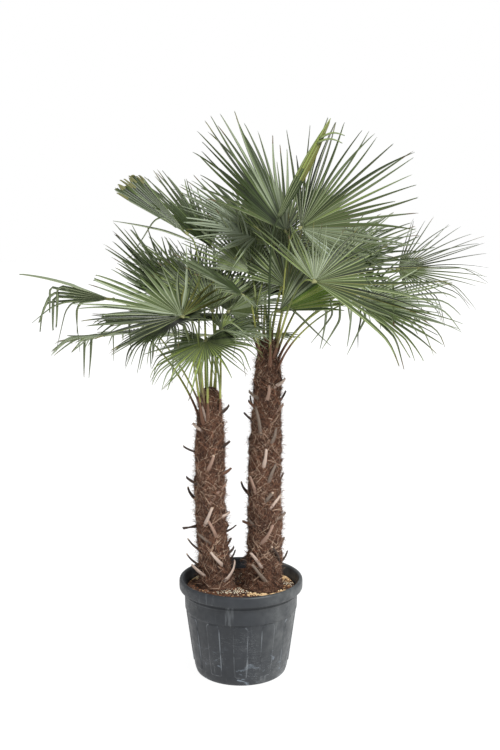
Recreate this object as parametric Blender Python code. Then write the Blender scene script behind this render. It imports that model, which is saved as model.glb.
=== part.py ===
"""Two windmill palms in one nursery pot, as closed solids. Metres, +Z up, front towards -Y."""
import math
import bpy
from mathutils import Vector
from mathutils.bvhtree import BVHTree

UP = Vector((0.0, 0.0, 1.0))
GAP = 0.0003

# Pot
POT_HEIGHT = 0.434
POT_BASE_R = 0.198
POT_BODY_LOW_R = 0.212
POT_BODY_TOP_R = 0.2475
POT_COLLAR_R = 0.254
POT_LIP_R = 0.280
POT_WALL = 0.005
POT_FLOOR = 0.006
PANEL_COUNT = 12
PANEL_HALF_DEG = 7.2
PANEL_EDGE_DEG = 0.9
PANEL_LIFT = 0.0035
PANEL_LOW_Z = 0.040
PANEL_TOP_Z = 0.290

# Soil
SOIL_Z = 0.386
SOIL_R = 0.2495
SOIL_RINGS = 5
SOIL_SIDES = 36

# Trunks: height, centre x, radius
TRUNK_SIDES = 14
TRUNK_Y = {"left": 0.020, "right": 0.000}
TRUNK_LINE = {
    "left": ((0.387, -0.112, 0.087), (0.415, -0.115, 0.077), (0.46, -0.121, 0.069), (0.55, -0.127, 0.066),
             (0.66, -0.134, 0.066), (0.78, -0.140, 0.065), (0.90, -0.140, 0.064), (1.01, -0.138, 0.063),
             (1.10, -0.137, 0.058), (1.16, -0.137, 0.050), (1.27, -0.137, 0.024)),
    "right": ((0.387, 0.096, 0.095), (0.415, 0.098, 0.086), (0.46, 0.102, 0.078), (0.56, 0.107, 0.073),
              (0.68, 0.108, 0.072), (0.79, 0.108, 0.071), (0.91, 0.108, 0.070), (1.02, 0.109, 0.068),
              (1.14, 0.112, 0.064), (1.25, 0.116, 0.059), (1.34, 0.118, 0.055), (1.40, 0.119, 0.050),
              (1.52, 0.120, 0.024)),
}
STUB_COUNT = {"left": 21, "right": 27}
STUB_FIRST_Z = 0.46
STUB_LAST_DROP = 0.19
GOLDEN_DEG = 137.508

# Fronds: palm, hub point, heading, rise and roll of the blade, radius, fan from/to,
# cup, sag, hang, seat azimuth, seat drop below the trunk top
FRONDS = (
    ("right", (0.199, 0.130, 1.987), 173, 56, 21, 0.592, -62, 85, 0.04, 0.04, 0.0, 70, 0.020),
    ("right", (0.259, -0.020, 2.000), -6, 30, -54, 0.560, -75, 85, 0.04, 0.08, 0.1, -5, 0.025),
    ("right", (0.304, -0.300, 1.783), -15, -16, -52, 0.540, -160, 25, 0.04, 0.12, 0.2, -50, 0.060),
    ("right", (0.700, 0.100, 1.815), -4, 8, -37, 0.420, -75, 85, 0.04, 0.15, 0.3, 12, 0.085),
    ("right", (0.495, -0.200, 1.690), -8, -5, -28, 0.465, -88, 60, 0.04, 0.20, 0.3, -24, 0.110),
    ("right", (0.165, -0.120, 1.650), -20, 10, -38, 0.330, -85, 15, 0.04, 0.08, 0.0, -78, 0.100),
    ("left", (-0.150, -0.100, 1.520), -95, -30, -12, 0.330, -140, 140, 0.00, 0.20, 0.3, 262, 0.095),
    ("left", (-0.243, -0.200, 1.632), 188, 6, 32, 0.450, -50, 145, 0.04, 0.15, 0.1, -115, 0.060),
    ("left", (-0.258, 0.150, 1.646), 178, 48, 14, 0.480, -60, 75, 0.04, 0.04, 0.0, 137, 0.050),
    ("left", (-0.230, -0.080, 1.978), 178, 40, 30, 0.365, -20, 20, 0.00, 0.02, 0.0, 215, 0.020),
    ("left", (-0.135, 0.150, 1.916), 180, 49, 18, 0.446, -45, 80, 0.04, 0.04, 0.0, 88, 0.020),
    ("left", (-0.560, 0.000, 1.690), 181, 6, -60, 0.420, -18, 12, 0.00, 0.06, 0.9, 180, 0.050),
    ("left", (-0.292, -0.100, 1.609), 205, -28, 0, 0.310, -140, 140, 0.00, 0.30, 0.4, 235, 0.110),
    ("left", (-0.055, 0.110, 1.630), 20, 36, -25, 0.320, -95, 95, 0.05, 0.15, 0.0, 35, 0.055),
    ("right", (0.085, 0.300, 1.975), 165, 32, 18, 0.460, -100, 100, 0.00, 0.08, 0.0, 105, 0.050),
    ("right", (0.270, 0.270, 1.850), 52, 24, 0, 0.500, -110, 110, 0.05, 0.15, 0.1, 50, 0.050),
    ("right", (0.100, 0.420, 1.710), 95, 2, 0, 0.480, -105, 105, 0.05, 0.20, 0.1, 88, 0.080),
    ("right", (0.460, 0.260, 1.650), 30, -8, 0, 0.460, -105, 105, 0.05, 0.20, 0.2, 34, 0.105),
    ("right", (-0.060, 0.360, 1.640), 128, -4, 0, 0.440, -100, 100, 0.05, 0.20, 0.2, 125, 0.100),
    ("right", (0.240, 0.430, 1.680), 64, 4, 0, 0.420, -95, 95, 0.05, 0.15, 0.1, 66, 0.118),
    ("left", (-0.300, 0.360, 1.560), 120, 2, 0, 0.460, -105, 105, 0.05, 0.18, 0.2, 115, 0.085),
    ("left", (-0.090, 0.400, 1.490), 85, -8, 0, 0.430, -100, 100, 0.05, 0.18, 0.1, 82, 0.100),
    ("left", (-0.500, 0.230, 1.520), 150, -8, 0, 0.440, -100, 100, 0.05, 0.22, 0.2, 150, 0.112),
    ("left", (-0.125, 0.060, 1.640), 100, 66, 0, 0.330, -62, 62, 0.05, 0.05, 0.0, 60, 0.035),
    ("left", (-0.200, 0.200, 1.720), 140, 40, 10, 0.360, -90, 90, 0.05, 0.10, 0.0, 110, 0.045),
    ("left", (-0.080, -0.060, 1.565), 25, 8, -12, 0.250, -90, 90, 0.04, 0.20, 0.2, -35, 0.080),
    ("right", (0.050, 0.140, 1.800), 115, 58, 0, 0.360, -85, 85, 0.05, 0.08, 0.0, 130, 0.035),
    ("right", (0.205, 0.060, 1.740), 75, 60, 0, 0.370, -80, 80, 0.05, 0.08, 0.0, 30, 0.022),
    ("right", (0.400, 0.130, 1.840), 25, 28, -20, 0.430, -100, 90, 0.04, 0.15, 0.1, 20, 0.060),
    ("right", (0.010, -0.150, 1.720), 200, 28, 12, 0.360, -90, 90, 0.04, 0.15, 0.1, 215, 0.050),
    ("right", (0.150, 0.240, 1.930), 95, 60, 0, 0.340, -100, 100, 0.05, 0.08, 0.0, 180, 0.022),
)

# Folded young leaf in the crown's middle: point, half width, half thickness
SPEAR = (
    ((0.120, 0.000, 1.5203), 0.009, 0.007), ((0.123, 0.000, 1.620), 0.007, 0.006),
    ((0.128, -0.004, 1.850), 0.007, 0.006), ((0.140, -0.004, 1.990), 0.009, 0.006),
    ((0.172, 0.006, 2.060), 0.015, 0.006), ((0.240, 0.025, 2.190), 0.019, 0.006),
    ((0.310, 0.050, 2.320), 0.017, 0.005), ((0.372, 0.072, 2.436), 0.009, 0.004),
    ((0.396, 0.080, 2.480), 0.003, 0.002),
)

FINGERS_PER_DEG = 1.0 / 13.5
HUB_R = 0.014
HUB_HALF = 0.006
SPLIT_AT = 0.42
BEND_AT = 0.74
BLADE_HALF = 0.003
SIDE_SHORTER = 0.30
STALK_STEPS = 6
STALK_HALF_W = 0.0052
STALK_HALF_T = 0.0044


def clear_file():
    """Remove what the file holds."""
    for item in list(bpy.data.objects):
        bpy.data.objects.remove(item)


def material(name, colour, roughness):
    """A plain surface."""
    mat = bpy.data.materials.new(name)
    mat.use_nodes = True
    shader = mat.node_tree.nodes["Principled BSDF"]
    shader.inputs["Base Color"].default_value = (*colour, 1.0)
    shader.inputs["Roughness"].default_value = roughness
    return mat


def solid(name, points, faces, mat):
    """One mesh object."""
    mesh = bpy.data.meshes.new(name)
    mesh.from_pydata([tuple(p) for p in points], [], faces)
    mesh.update()
    mesh.materials.append(mat)
    thing = bpy.data.objects.new(name, mesh)
    bpy.context.scene.collection.objects.link(thing)
    return thing


def noise(*keys):
    """A fixed number from -1 to 1 for whole-number keys."""
    total = sum((k + 1.37) * w for k, w in zip(keys, (12.9898, 78.233, 37.719, 9.151)))
    value = math.sin(total) * 43758.5453
    return 2.0 * (value - math.floor(value)) - 1.0


def lathe(rings, close_first=True, close_last=True):
    """Skin rings of equal length into a closed body."""
    points = [p for ring in rings for p in ring]
    n = len(rings[0])
    faces = []
    for i in range(len(rings) - 1):
        for j in range(n):
            k = (j + 1) % n
            faces.append((i * n + j, i * n + k, (i + 1) * n + k, (i + 1) * n + j))
    if close_first:
        faces.append(tuple(reversed(range(n))))
    if close_last:
        last = (len(rings) - 1) * n
        faces.append(tuple(range(last, last + n)))
    return points, faces


def pot_columns():
    """Angles round the pot and whether each is on a raised panel."""
    columns = []
    step = 360.0 / PANEL_COUNT
    for i in range(PANEL_COUNT):
        mid = i * step
        columns.append((mid - PANEL_HALF_DEG - PANEL_EDGE_DEG, 0.0))
        columns.append((mid - PANEL_HALF_DEG, 1.0))
        columns.append((mid + PANEL_HALF_DEG, 1.0))
        columns.append((mid + PANEL_HALF_DEG + PANEL_EDGE_DEG, 0.0))
        columns.append((mid + step / 2.0, 0.0))
    return columns


def body_radius(z):
    """Outer radius of the plain pot body."""
    t = (z - 0.03) / (PANEL_TOP_Z - 0.03)
    return POT_BODY_LOW_R + (POT_BODY_TOP_R - POT_BODY_LOW_R) * t


def pot_profile():
    """Rows up the outside, over the lip and down the inside: z, radius, panel share."""
    outer = (
        (0.0, POT_BASE_R, 0.0), (0.006, 0.206, 0.0), (0.030, POT_BODY_LOW_R, 0.0),
        (PANEL_LOW_Z, body_radius(PANEL_LOW_Z), 0.0), (PANEL_LOW_Z + 0.006, body_radius(PANEL_LOW_Z + 0.006), 1.0),
        (PANEL_TOP_Z - 0.008, body_radius(PANEL_TOP_Z - 0.008), 1.0), (PANEL_TOP_Z, body_radius(PANEL_TOP_Z), 0.0),
        (0.297, POT_COLLAR_R, 0.0), (0.383, POT_COLLAR_R + 0.003, 0.0), (0.386, POT_LIP_R - 0.003, 0.0),
        (0.400, POT_LIP_R, 0.0), (0.428, POT_LIP_R - 0.001, 0.0), (POT_HEIGHT, POT_LIP_R - 0.007, 0.0),
    )
    inner = (
        (POT_HEIGHT, 0.266, 0.0), (0.429, 0.262, 0.0), (0.400, 0.2575, 0.0), (0.388, 0.2530, 0.0),
        (0.300, 0.2490, 0.0), (0.290, 0.2425, 0.0), (POT_FLOOR, POT_BODY_LOW_R - 0.010, 0.0),
    )
    return outer, inner


def build_pot(mat):
    """Tapered tub with twelve raised panels, a collar and a rolled lip."""
    outer, inner = pot_profile()
    rings = []
    for z, radius, share in outer + inner:
        ring = []
        for angle, panel in pot_columns():
            a = math.radians(angle)
            r = radius + PANEL_LIFT * panel * share
            ring.append(Vector((r * math.cos(a), r * math.sin(a), z)))
        rings.append(ring)
    return solid("pot", *lathe(rings), mat)


def trunk_foot_clear(x, y):
    """How far a point is from either trunk's foot."""
    near = 9.0
    for side in ("left", "right"):
        z, cx, r = TRUNK_LINE[side][0]
        near = min(near, math.hypot(x - cx, y - TRUNK_Y[side]) - r)
    return near


def build_soil(mat):
    """Bark soil that fills the pot, a little uneven between the trunks and the wall."""
    wall = ((POT_FLOOR + GAP, 0.1985), (0.286, 0.2385), (0.300, 0.2440), (SOIL_Z, SOIL_R))
    rings = []
    for z, r in wall:
        ring = []
        for j in range(SOIL_SIDES):
            a = math.tau * j / SOIL_SIDES
            ring.append(Vector((r * math.cos(a), r * math.sin(a), z)))
        rings.append(ring)
    for i in range(1, SOIL_RINGS):
        ring = []
        for j in range(SOIL_SIDES):
            a = math.tau * j / SOIL_SIDES
            r = SOIL_R * (1.0 - i / SOIL_RINGS)
            x, y = r * math.cos(a), r * math.sin(a)
            room = trunk_foot_clear(x, y)
            lift = 0.004 * noise(i, j) if room > 0.035 else 0.0
            ring.append(Vector((x, y, SOIL_Z + lift)))
        rings.append(ring)
    return solid("soil", *lathe(rings), mat)


def trunk_at(side, z):
    """Centre and radius of a trunk at a height."""
    line = TRUNK_LINE[side]
    for (z0, x0, r0), (z1, x1, r1) in zip(line, line[1:]):
        if z <= z1:
            t = (z - z0) / (z1 - z0)
            return Vector((x0 + (x1 - x0) * t, TRUNK_Y[side], z)), r0 + (r1 - r0) * t
    z1, x1, r1 = line[-1]
    return Vector((x1, TRUNK_Y[side], z)), r1


def trunk_top(side):
    """Height of the trunk's tip."""
    return TRUNK_LINE[side][-1][0]


def trunk_heights(side):
    """Ring heights, closer together up the shaft than in the table."""
    heights = []
    line = TRUNK_LINE[side]
    for (z0, _, _), (z1, _, _) in zip(line, line[1:]):
        heights.append(z0)
        if z1 - z0 > 0.07 and z1 < trunk_top(side):
            heights.append((z0 + z1) / 2.0)
    heights.append(line[-1][0])
    return heights


def trunk_shell(side):
    """The fibre-covered shaft without its stubs."""
    rings = []
    heights = trunk_heights(side)
    for i, z in enumerate(heights):
        centre, radius = trunk_at(side, z)
        smooth = i == 0 or z > trunk_top(side) - STUB_LAST_DROP
        ring = []
        for j in range(TRUNK_SIDES):
            a = math.tau * (j + (0.0 if smooth else 0.3 * noise(i, j, 7))) / TRUNK_SIDES
            r = radius + (0.0 if smooth else 0.0035 * noise(i, j, len(side)))
            ring.append(centre + Vector((r * math.cos(a), r * math.sin(a), 0.0)))
        rings.append(ring)
    return lathe(rings)


def stub_points(side, index):
    """A cut leaf base: four corners in the fibre and four at the cut end."""
    count = STUB_COUNT[side]
    low = STUB_FIRST_Z
    high = trunk_top(side) - STUB_LAST_DROP
    z = low + (high - low) * (index + 0.5 * noise(index, 5)) / (count - 1)
    z = min(max(z, low), high)
    azimuth = math.radians(GOLDEN_DEG * index + (40.0 if side == "left" else 15.0) + 8.0 * noise(index, 3))
    centre, radius = trunk_at(side, z)
    out = Vector((math.cos(azimuth), math.sin(azimuth), 0.0))
    across = Vector((-out.y, out.x, 0.0))
    lean = math.radians(24.0 + 12.0 * noise(index, 1))
    along = (out * math.sin(lean) + UP * math.cos(lean)).normalized()
    face = across.cross(along).normalized()
    length = 0.052 + 0.014 * noise(index, 2)
    root = centre + out * (radius - 0.009)
    tip = root + along * length + across * 0.006 * noise(index, 4)
    points = []
    for spot, half_w, half_t in ((root, 0.0125, 0.0055), (tip, 0.0070, 0.0036)):
        for u, v in ((1, 1), (-1, 1), (-1, -1), (1, -1)):
            points.append(spot + across * half_w * u + face * half_t * v)
    return points


BOX_FACES = [(0, 1, 2, 3), (7, 6, 5, 4), (0, 4, 5, 1), (1, 5, 6, 2), (2, 6, 7, 3), (3, 7, 4, 0)]


def tidy_normals(thing):
    """Turn every face outward."""
    import bmesh
    work = bmesh.new()
    work.from_mesh(thing.data)
    bmesh.ops.recalc_face_normals(work, faces=work.faces)
    work.to_mesh(thing.data)
    work.free()


def join_all(base, extras):
    """Fuse the extras into the base with one union."""
    group = bpy.data.collections.new(base.name + "_extras")
    bpy.context.scene.collection.children.link(group)
    for thing in extras:
        bpy.context.scene.collection.objects.unlink(thing)
        group.objects.link(thing)
    union = base.modifiers.new("union", "BOOLEAN")
    union.operation = "UNION"
    union.operand_type = "COLLECTION"
    union.collection = group
    union.solver = "EXACT"
    depsgraph = bpy.context.evaluated_depsgraph_get()
    fused = bpy.data.meshes.new_from_object(base.evaluated_get(depsgraph))
    base.modifiers.clear()
    base.data = fused
    for thing in list(group.objects):
        bpy.data.objects.remove(thing)
    bpy.data.collections.remove(group)


def build_trunk(side, mat):
    """A fibrous shaft with a root flare, cut flat at the soil, and its old leaf bases."""
    trunk = solid("trunk_" + side, *trunk_shell(side), mat)
    tidy_normals(trunk)
    stubs = []
    for index in range(STUB_COUNT[side]):
        stub = solid("stub", stub_points(side, index), BOX_FACES, mat)
        tidy_normals(stub)
        stubs.append(stub)
    join_all(trunk, stubs)
    return trunk


def tree_of(thing):
    """Search tree of a finished body."""
    points = [v.co.copy() for v in thing.data.vertices]
    return BVHTree.FromPolygons(points, [tuple(p.vertices) for p in thing.data.polygons])


def blade_frame(heading, rise, roll):
    """Axis, side and upper-face directions of a fan blade."""
    ps, ep, ro = map(math.radians, (heading, rise, roll))
    axis = Vector((math.cos(ep) * math.cos(ps), math.cos(ep) * math.sin(ps), math.sin(ep)))
    level = Vector((math.sin(ps), -math.cos(ps), 0.0))
    upper = level.cross(axis)
    side = level * math.cos(ro) + upper * math.sin(ro)
    face = upper * math.cos(ro) - level * math.sin(ro)
    return axis, side, face


def walk(start, aim, length, sag, kink, drop, steps=14):
    """Points along a leaf finger that sags by its level run and hangs past its kink."""
    points = [start.copy()]
    aim = aim.copy()
    for i in range(steps):
        t = (i + 0.5) / steps
        level = math.sqrt(max(0.0, 1.0 - aim.z * aim.z))
        aim = (aim - UP * (sag * level * 3.0 * t * t / steps)).normalized()
        if kink and abs(t - kink) <= 0.5 / steps:
            aim = aim.lerp(-UP, drop).normalized()
        points.append(points[-1] + aim * (length / steps))
    return points


class Fan:
    """Numbers of one frond, read from its row."""

    def __init__(self, index, row):
        self.index = index
        (self.palm, hub, heading, rise, roll, self.radius, self.start, self.stop,
         self.cup, self.sag, self.hang, self.seat_azimuth, self.seat_drop) = row
        self.hub = Vector(hub)
        self.axis, self.side, self.face = blade_frame(heading, rise, roll)
        self.count = round((self.stop - self.start) * FINGERS_PER_DEG)

    def margin_angle(self, j):
        """Angle of the margin between two fingers."""
        return math.radians(self.start + (self.stop - self.start) * j / self.count)

    def ray(self, angle):
        """Direction of a line in the blade."""
        flat = self.axis * math.cos(angle) + self.side * math.sin(angle)
        return (flat + self.face * self.cup).normalized()

    def reach(self, angle):
        """Length of the blade along a line."""
        turn = abs(angle) / math.radians(150.0)
        return self.radius * (1.0 - SIDE_SHORTER * turn * turn)

    def margin_point(self, j):
        """End of the join between two fingers."""
        angle = self.margin_angle(j)
        return walk(self.hub, self.ray(angle), self.reach(angle) * SPLIT_AT, self.sag * 0.1, 0, 0, 4)[-1]

    def finger_line(self, j):
        """Centre line of a finger."""
        angle = (self.margin_angle(j) + self.margin_angle(j + 1)) / 2.0
        length = self.reach(angle) * (1.0 + 0.05 * noise(self.index, j))
        slack = min(1.0, max(0.0, 0.95 - 1.3 * self.ray(angle).z))
        hang = self.hang * slack * (0.5 + 0.5 * noise(self.index, j, 3))
        kink = BEND_AT if hang > 0.12 else 0.0
        return walk(self.hub, self.ray(angle), length, self.sag, kink, min(1.0, hang * 2.0))


def at_share(line, share):
    """Point at a share of a walked line."""
    where = share * (len(line) - 1)
    i = min(int(where), len(line) - 2)
    return line[i].lerp(line[i + 1], where - i)


def finger_corners(fan, j, shorten, pad):
    """Corner points of one finger's outer part."""
    half = BLADE_HALF + pad
    line = fan.finger_line(j)
    left, right = fan.margin_point(j), fan.margin_point(j + 1)
    bend = at_share(line, BEND_AT * shorten)
    tip = at_share(line, shorten)
    across = (right - left).normalized()
    mid = (left + right) / 2.0
    along = (bend - mid).normalized()
    face = across.cross(along).normalized()
    face = face if face.dot(fan.face) > 0.0 else -face
    half_w = (right - left).length * 0.24 + pad
    return {
        "left_up": left + fan.face * half - across * pad, "right_up": right + fan.face * half + across * pad,
        "left_down": left - fan.face * half - across * pad, "right_down": right - fan.face * half + across * pad,
        "bend_left": bend - across * half_w + face * half, "bend_right": bend + across * half_w + face * half,
        "bend_down": bend - face * half * 1.3, "tip": tip,
    }


def hub_corner(fan, j, up, pad=0.0):
    """Corner of the small disc where the stalk ends."""
    angle = fan.margin_angle(j)
    flat = fan.axis * math.cos(angle) + fan.side * math.sin(angle)
    return fan.hub + flat * HUB_R + fan.face * (HUB_HALF + pad) * up


def quad(a, b, c, d):
    """Two triangles over four corners, always cut from the first to the third."""
    return [(a, b, c), (a, c, d)]


def finger_faces(lu, ru, ld, rd, bl, br, bd, tip):
    """Faces of a finger's outer part."""
    faces = quad(lu, ru, br, bl) + quad(lu, ld, bd, bl) + quad(ru, rd, bd, br)
    return faces + [(ld, rd, bd), (bl, br, tip), (bl, bd, tip), (br, bd, tip)]


def blade_faces(hub_lu, hub_ru, hub_ld, hub_rd, lu, ru, ld, rd):
    """Upper and lower faces of a finger's share of the joined blade."""
    return quad(hub_lu, hub_ru, ru, lu) + quad(hub_ld, hub_rd, rd, ld)


def finger_test_tree(fan, j, shorten, whole):
    """A slightly swollen copy of one finger, with its share of the joined blade."""
    pad = 0.0012
    c = finger_corners(fan, j, shorten, pad)
    names = ("left_up", "right_up", "left_down", "right_down", "bend_left", "bend_right", "bend_down", "tip")
    points = [c[n] for n in names]
    faces = finger_faces(*range(8))
    if whole:
        points += [hub_corner(fan, j, 1, pad), hub_corner(fan, j + 1, 1, pad),
                   hub_corner(fan, j, -1, pad), hub_corner(fan, j + 1, -1, pad)]
        faces += blade_faces(8, 9, 10, 11, 0, 1, 2, 3)
        faces += quad(8, 0, 2, 10) + quad(9, 1, 3, 11)
    return BVHTree.FromPolygons(points, faces)


def stalk_path(fan, trunk_tree):
    """Centre line of a stalk from its seat on the trunk to the hub."""
    azimuth = math.radians(fan.seat_azimuth)
    out = Vector((math.cos(azimuth), math.sin(azimuth), 0.0))
    z = trunk_top(fan.palm) - fan.seat_drop
    centre, _ = trunk_at(fan.palm, z)
    spot, normal, _, _ = trunk_tree.ray_cast(centre + out * 0.2, -out)
    seat = spot + normal * GAP
    leave = seat + normal * 0.012 + UP * 0.002
    rear = fan.hub - fan.axis * HUB_R * 1.6
    span = (rear - leave).length
    run = Vector((rear.x - leave.x, rear.y - leave.y, 0.0)).length / span
    first = leave + (out * (0.12 + 0.42 * run) + UP).normalized() * span * 0.38
    last = rear - fan.axis * span * 0.13
    path = [seat, leave]
    for i in range(1, STALK_STEPS + 1):
        t = i / STALK_STEPS
        u = 1.0 - t
        path.append(leave * u ** 3 + first * 3 * u * u * t + last * 3 * u * t * t + rear * t ** 3)
    return path, out, normal


def stalk_sections(fan, trunk_tree, pad=0.0):
    """Four corners at each station of a stalk."""
    path, out, normal = stalk_path(fan, trunk_tree)
    sections = []
    last = len(path) - 1
    for i, point in enumerate(path):
        if i == 0:
            along = normal
        else:
            along = (path[min(i + 1, last)] - path[i - 1]).normalized()
        share = i / last
        level = Vector((out.y, -out.x, 0.0))
        across = level.lerp(fan.side, max(0.0, share - 0.25) / 0.75) if i else level
        across = (across - along * across.dot(along)).normalized()
        over = across.cross(along).normalized()
        half_w = (STALK_HALF_W + 0.0028 * (1.0 - share) ** 2) + pad
        half_t = (STALK_HALF_T + 0.0018 * (1.0 - share) ** 2) + pad
        sections.append([point + across * half_w + over * half_t, point - across * half_w + over * half_t,
                         point - across * half_w - over * half_t, point + across * half_w - over * half_t])
    return sections


def tube_faces(before, ring):
    """Sides of a four-sided tube between two rings."""
    faces = []
    for k in range(4):
        m = (k + 1) % 4
        faces += quad(before[k], before[m], ring[m], ring[k])
    return faces


def stalk_tree(fan, trunk_tree, pad=0.0006):
    """Search tree of a slightly swollen stalk."""
    sections = stalk_sections(fan, trunk_tree, pad)
    up = [hub_corner(fan, j, 1, pad) for j in range(fan.count + 1)]
    down = [hub_corner(fan, j, -1, pad) for j in range(fan.count + 1)]
    points = up + down
    last = fan.count
    faces = [tuple(range(last + 1)), tuple(range(last + 1, 2 * last + 2))]
    for j in range(last):
        faces += quad(j, j + 1, last + 2 + j, last + 1 + j)
    before = (last, 0, last + 1, 2 * last + 1)
    for section in reversed(sections[1:]):
        ring = tuple(range(len(points), len(points) + 4))
        points += section
        faces += tube_faces(before, ring)
        before = ring
    return BVHTree.FromPolygons(points, faces)


def frond_mesh(fan, trunk_tree, plan):
    """One closed frond: disc, joined blade, split fingers and stalk."""
    points = []
    faces = []

    def put(point):
        points.append(point)
        return len(points) - 1

    n = fan.count
    hub_up = [put(hub_corner(fan, j, 1)) for j in range(n + 1)]
    hub_down = [put(hub_corner(fan, j, -1)) for j in range(n + 1)]
    edge = {}
    for j in range(n):
        shorten = plan[j]
        if not shorten:
            faces.append((hub_up[j], hub_up[j + 1], hub_down[j + 1], hub_down[j]))
            continue
        c = finger_corners(fan, j, shorten, 0.0)
        for key, name in ((j, "left"), (j + 1, "right")):
            if key not in edge:
                edge[key] = (put(c[name + "_up"]), put(c[name + "_down"]))
        (lu, ld), (ru, rd) = edge[j], edge[j + 1]
        bl, br, bd, tip = (put(c[name]) for name in ("bend_left", "bend_right", "bend_down", "tip"))
        faces += blade_faces(hub_up[j], hub_up[j + 1], hub_down[j], hub_down[j + 1], lu, ru, ld, rd)
        faces += finger_faces(lu, ru, ld, rd, bl, br, bd, tip)
        for key, other in ((j, j - 1), (j + 1, j + 1)):
            if other < 0 or other >= n or not plan[other]:
                faces += quad(hub_up[key], edge[key][0], edge[key][1], hub_down[key])
    faces.append(tuple(hub_up))
    faces.append(tuple(reversed(hub_down)))
    rear = (hub_up[n], hub_up[0], hub_down[0], hub_down[n])
    before = rear
    for section in reversed(stalk_sections(fan, trunk_tree)):
        ring = tuple(put(p) for p in section)
        faces += tube_faces(before, ring)
        before = ring
    faces.append(before)
    return points, faces


def touches(tree, others):
    """Whether a tree crosses any of the others."""
    return any(tree.overlap(other) for other in others)


def plan_fingers(fan, fixed, own_stalk):
    """Full, short or no length for each finger, so that nothing crosses."""
    plan = []
    for j in range(fan.count):
        chosen = 0.0
        for shorten in (1.0, 0.85, 0.7):
            if touches(finger_test_tree(fan, j, shorten, True), fixed):
                continue
            if touches(finger_test_tree(fan, j, shorten, False), [own_stalk]):
                continue
            chosen = shorten
            break
        plan.append(chosen)
    return plan


def build_spear(mat):
    """The folded leaf that stands on the right trunk's tip."""
    spots = [Vector(row[0]) for row in SPEAR]
    rings = []
    for i, (_, half_w, half_t) in enumerate(SPEAR):
        along = (spots[min(i + 1, len(spots) - 1)] - spots[max(i - 1, 0)]).normalized()
        along = UP if i == 0 else along
        across = Vector((1.0, 0.0, 0.0)) - along * along.x
        across.normalize()
        over = along.cross(across)
        ring = [spots[i] + across * half_w, spots[i] + over * half_t,
                spots[i] - across * half_w, spots[i] - over * half_t]
        rings.append(ring)
    spear = solid("spear_right", *lathe(rings), mat)
    tidy_normals(spear)
    return spear


def build_fronds(solids, trunk_trees, mat):
    """Every frond in turn, each clear of those before it."""
    fans = [Fan(i, row) for i, row in enumerate(FRONDS)]
    stalks = [stalk_tree(fan, trunk_trees[fan.palm]) for fan in fans]
    fixed = [tree_of(thing) for thing in solids]
    numbers = {"left": 0, "right": 0}
    for fan, own in zip(fans, stalks):
        numbers[fan.palm] += 1
        others = [tree for tree in stalks if tree is not own]
        plan = plan_fingers(fan, fixed + others, own)
        name = f"frond_{fan.palm}_{numbers[fan.palm]:02d}"
        thing = solid(name, *frond_mesh(fan, trunk_trees[fan.palm], plan), mat)
        tidy_normals(thing)
        fixed.append(tree_of(thing))


def build():
    """The whole potted clump."""
    clear_file()
    pot = build_pot(material("pot_plastic", (0.055, 0.062, 0.070), 0.5))
    soil = build_soil(material("bark_soil", (0.13, 0.065, 0.035), 0.95))
    bark = material("trunk_fibre", (0.17, 0.10, 0.07), 0.95)
    trunks = {side: build_trunk(side, bark) for side in ("left", "right")}
    trees = {side: tree_of(thing) for side, thing in trunks.items()}
    leaf = material("leaf", (0.10, 0.17, 0.10), 0.6)
    spear = build_spear(leaf)
    build_fronds([pot, soil, *trunks.values(), spear], trees, leaf)


build()
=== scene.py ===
"""Looks of two windmill palms in one nursery pot. Metres, +Z up, front towards -Y."""
import math
import random

import bmesh
import bpy
from mathutils import Matrix, Vector
from mathutils import noise as cloud
from mathutils.bvhtree import BVHTree


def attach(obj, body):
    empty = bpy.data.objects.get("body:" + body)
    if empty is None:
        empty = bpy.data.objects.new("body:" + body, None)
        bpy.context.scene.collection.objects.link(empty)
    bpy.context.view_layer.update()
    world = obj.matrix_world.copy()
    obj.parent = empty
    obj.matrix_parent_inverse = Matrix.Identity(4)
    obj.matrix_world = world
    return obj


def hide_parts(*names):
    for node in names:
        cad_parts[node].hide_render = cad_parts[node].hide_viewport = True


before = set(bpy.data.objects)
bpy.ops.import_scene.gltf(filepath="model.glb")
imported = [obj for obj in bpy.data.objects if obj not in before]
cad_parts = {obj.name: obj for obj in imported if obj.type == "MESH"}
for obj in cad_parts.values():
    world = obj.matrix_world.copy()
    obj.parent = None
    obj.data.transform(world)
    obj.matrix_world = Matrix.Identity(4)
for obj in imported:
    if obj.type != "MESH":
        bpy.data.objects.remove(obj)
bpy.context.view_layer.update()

UP = Vector((0.0, 0.0, 1.0))

# Camera: place, tilt, lens, and the picture it fills
CAMERA_SPOT = (0.041, -4.40, 1.984)
CAMERA_TILT = 81.89
CAMERA_FOCAL = 1006.0
PICTURE = (500.0, 750.0)

# Light: surround as the object sees it, and a wide soft key from the upper right
AMBIENT = 0.56
KEY_POWER = 2.9
KEY_SPREAD = 16.0
KEY_FROM = (0.62, -0.70, 1.0)
FLOOR_GLOW = 0.95
WHITE = (1.0, 1.0, 1.0, 1.0)

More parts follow.
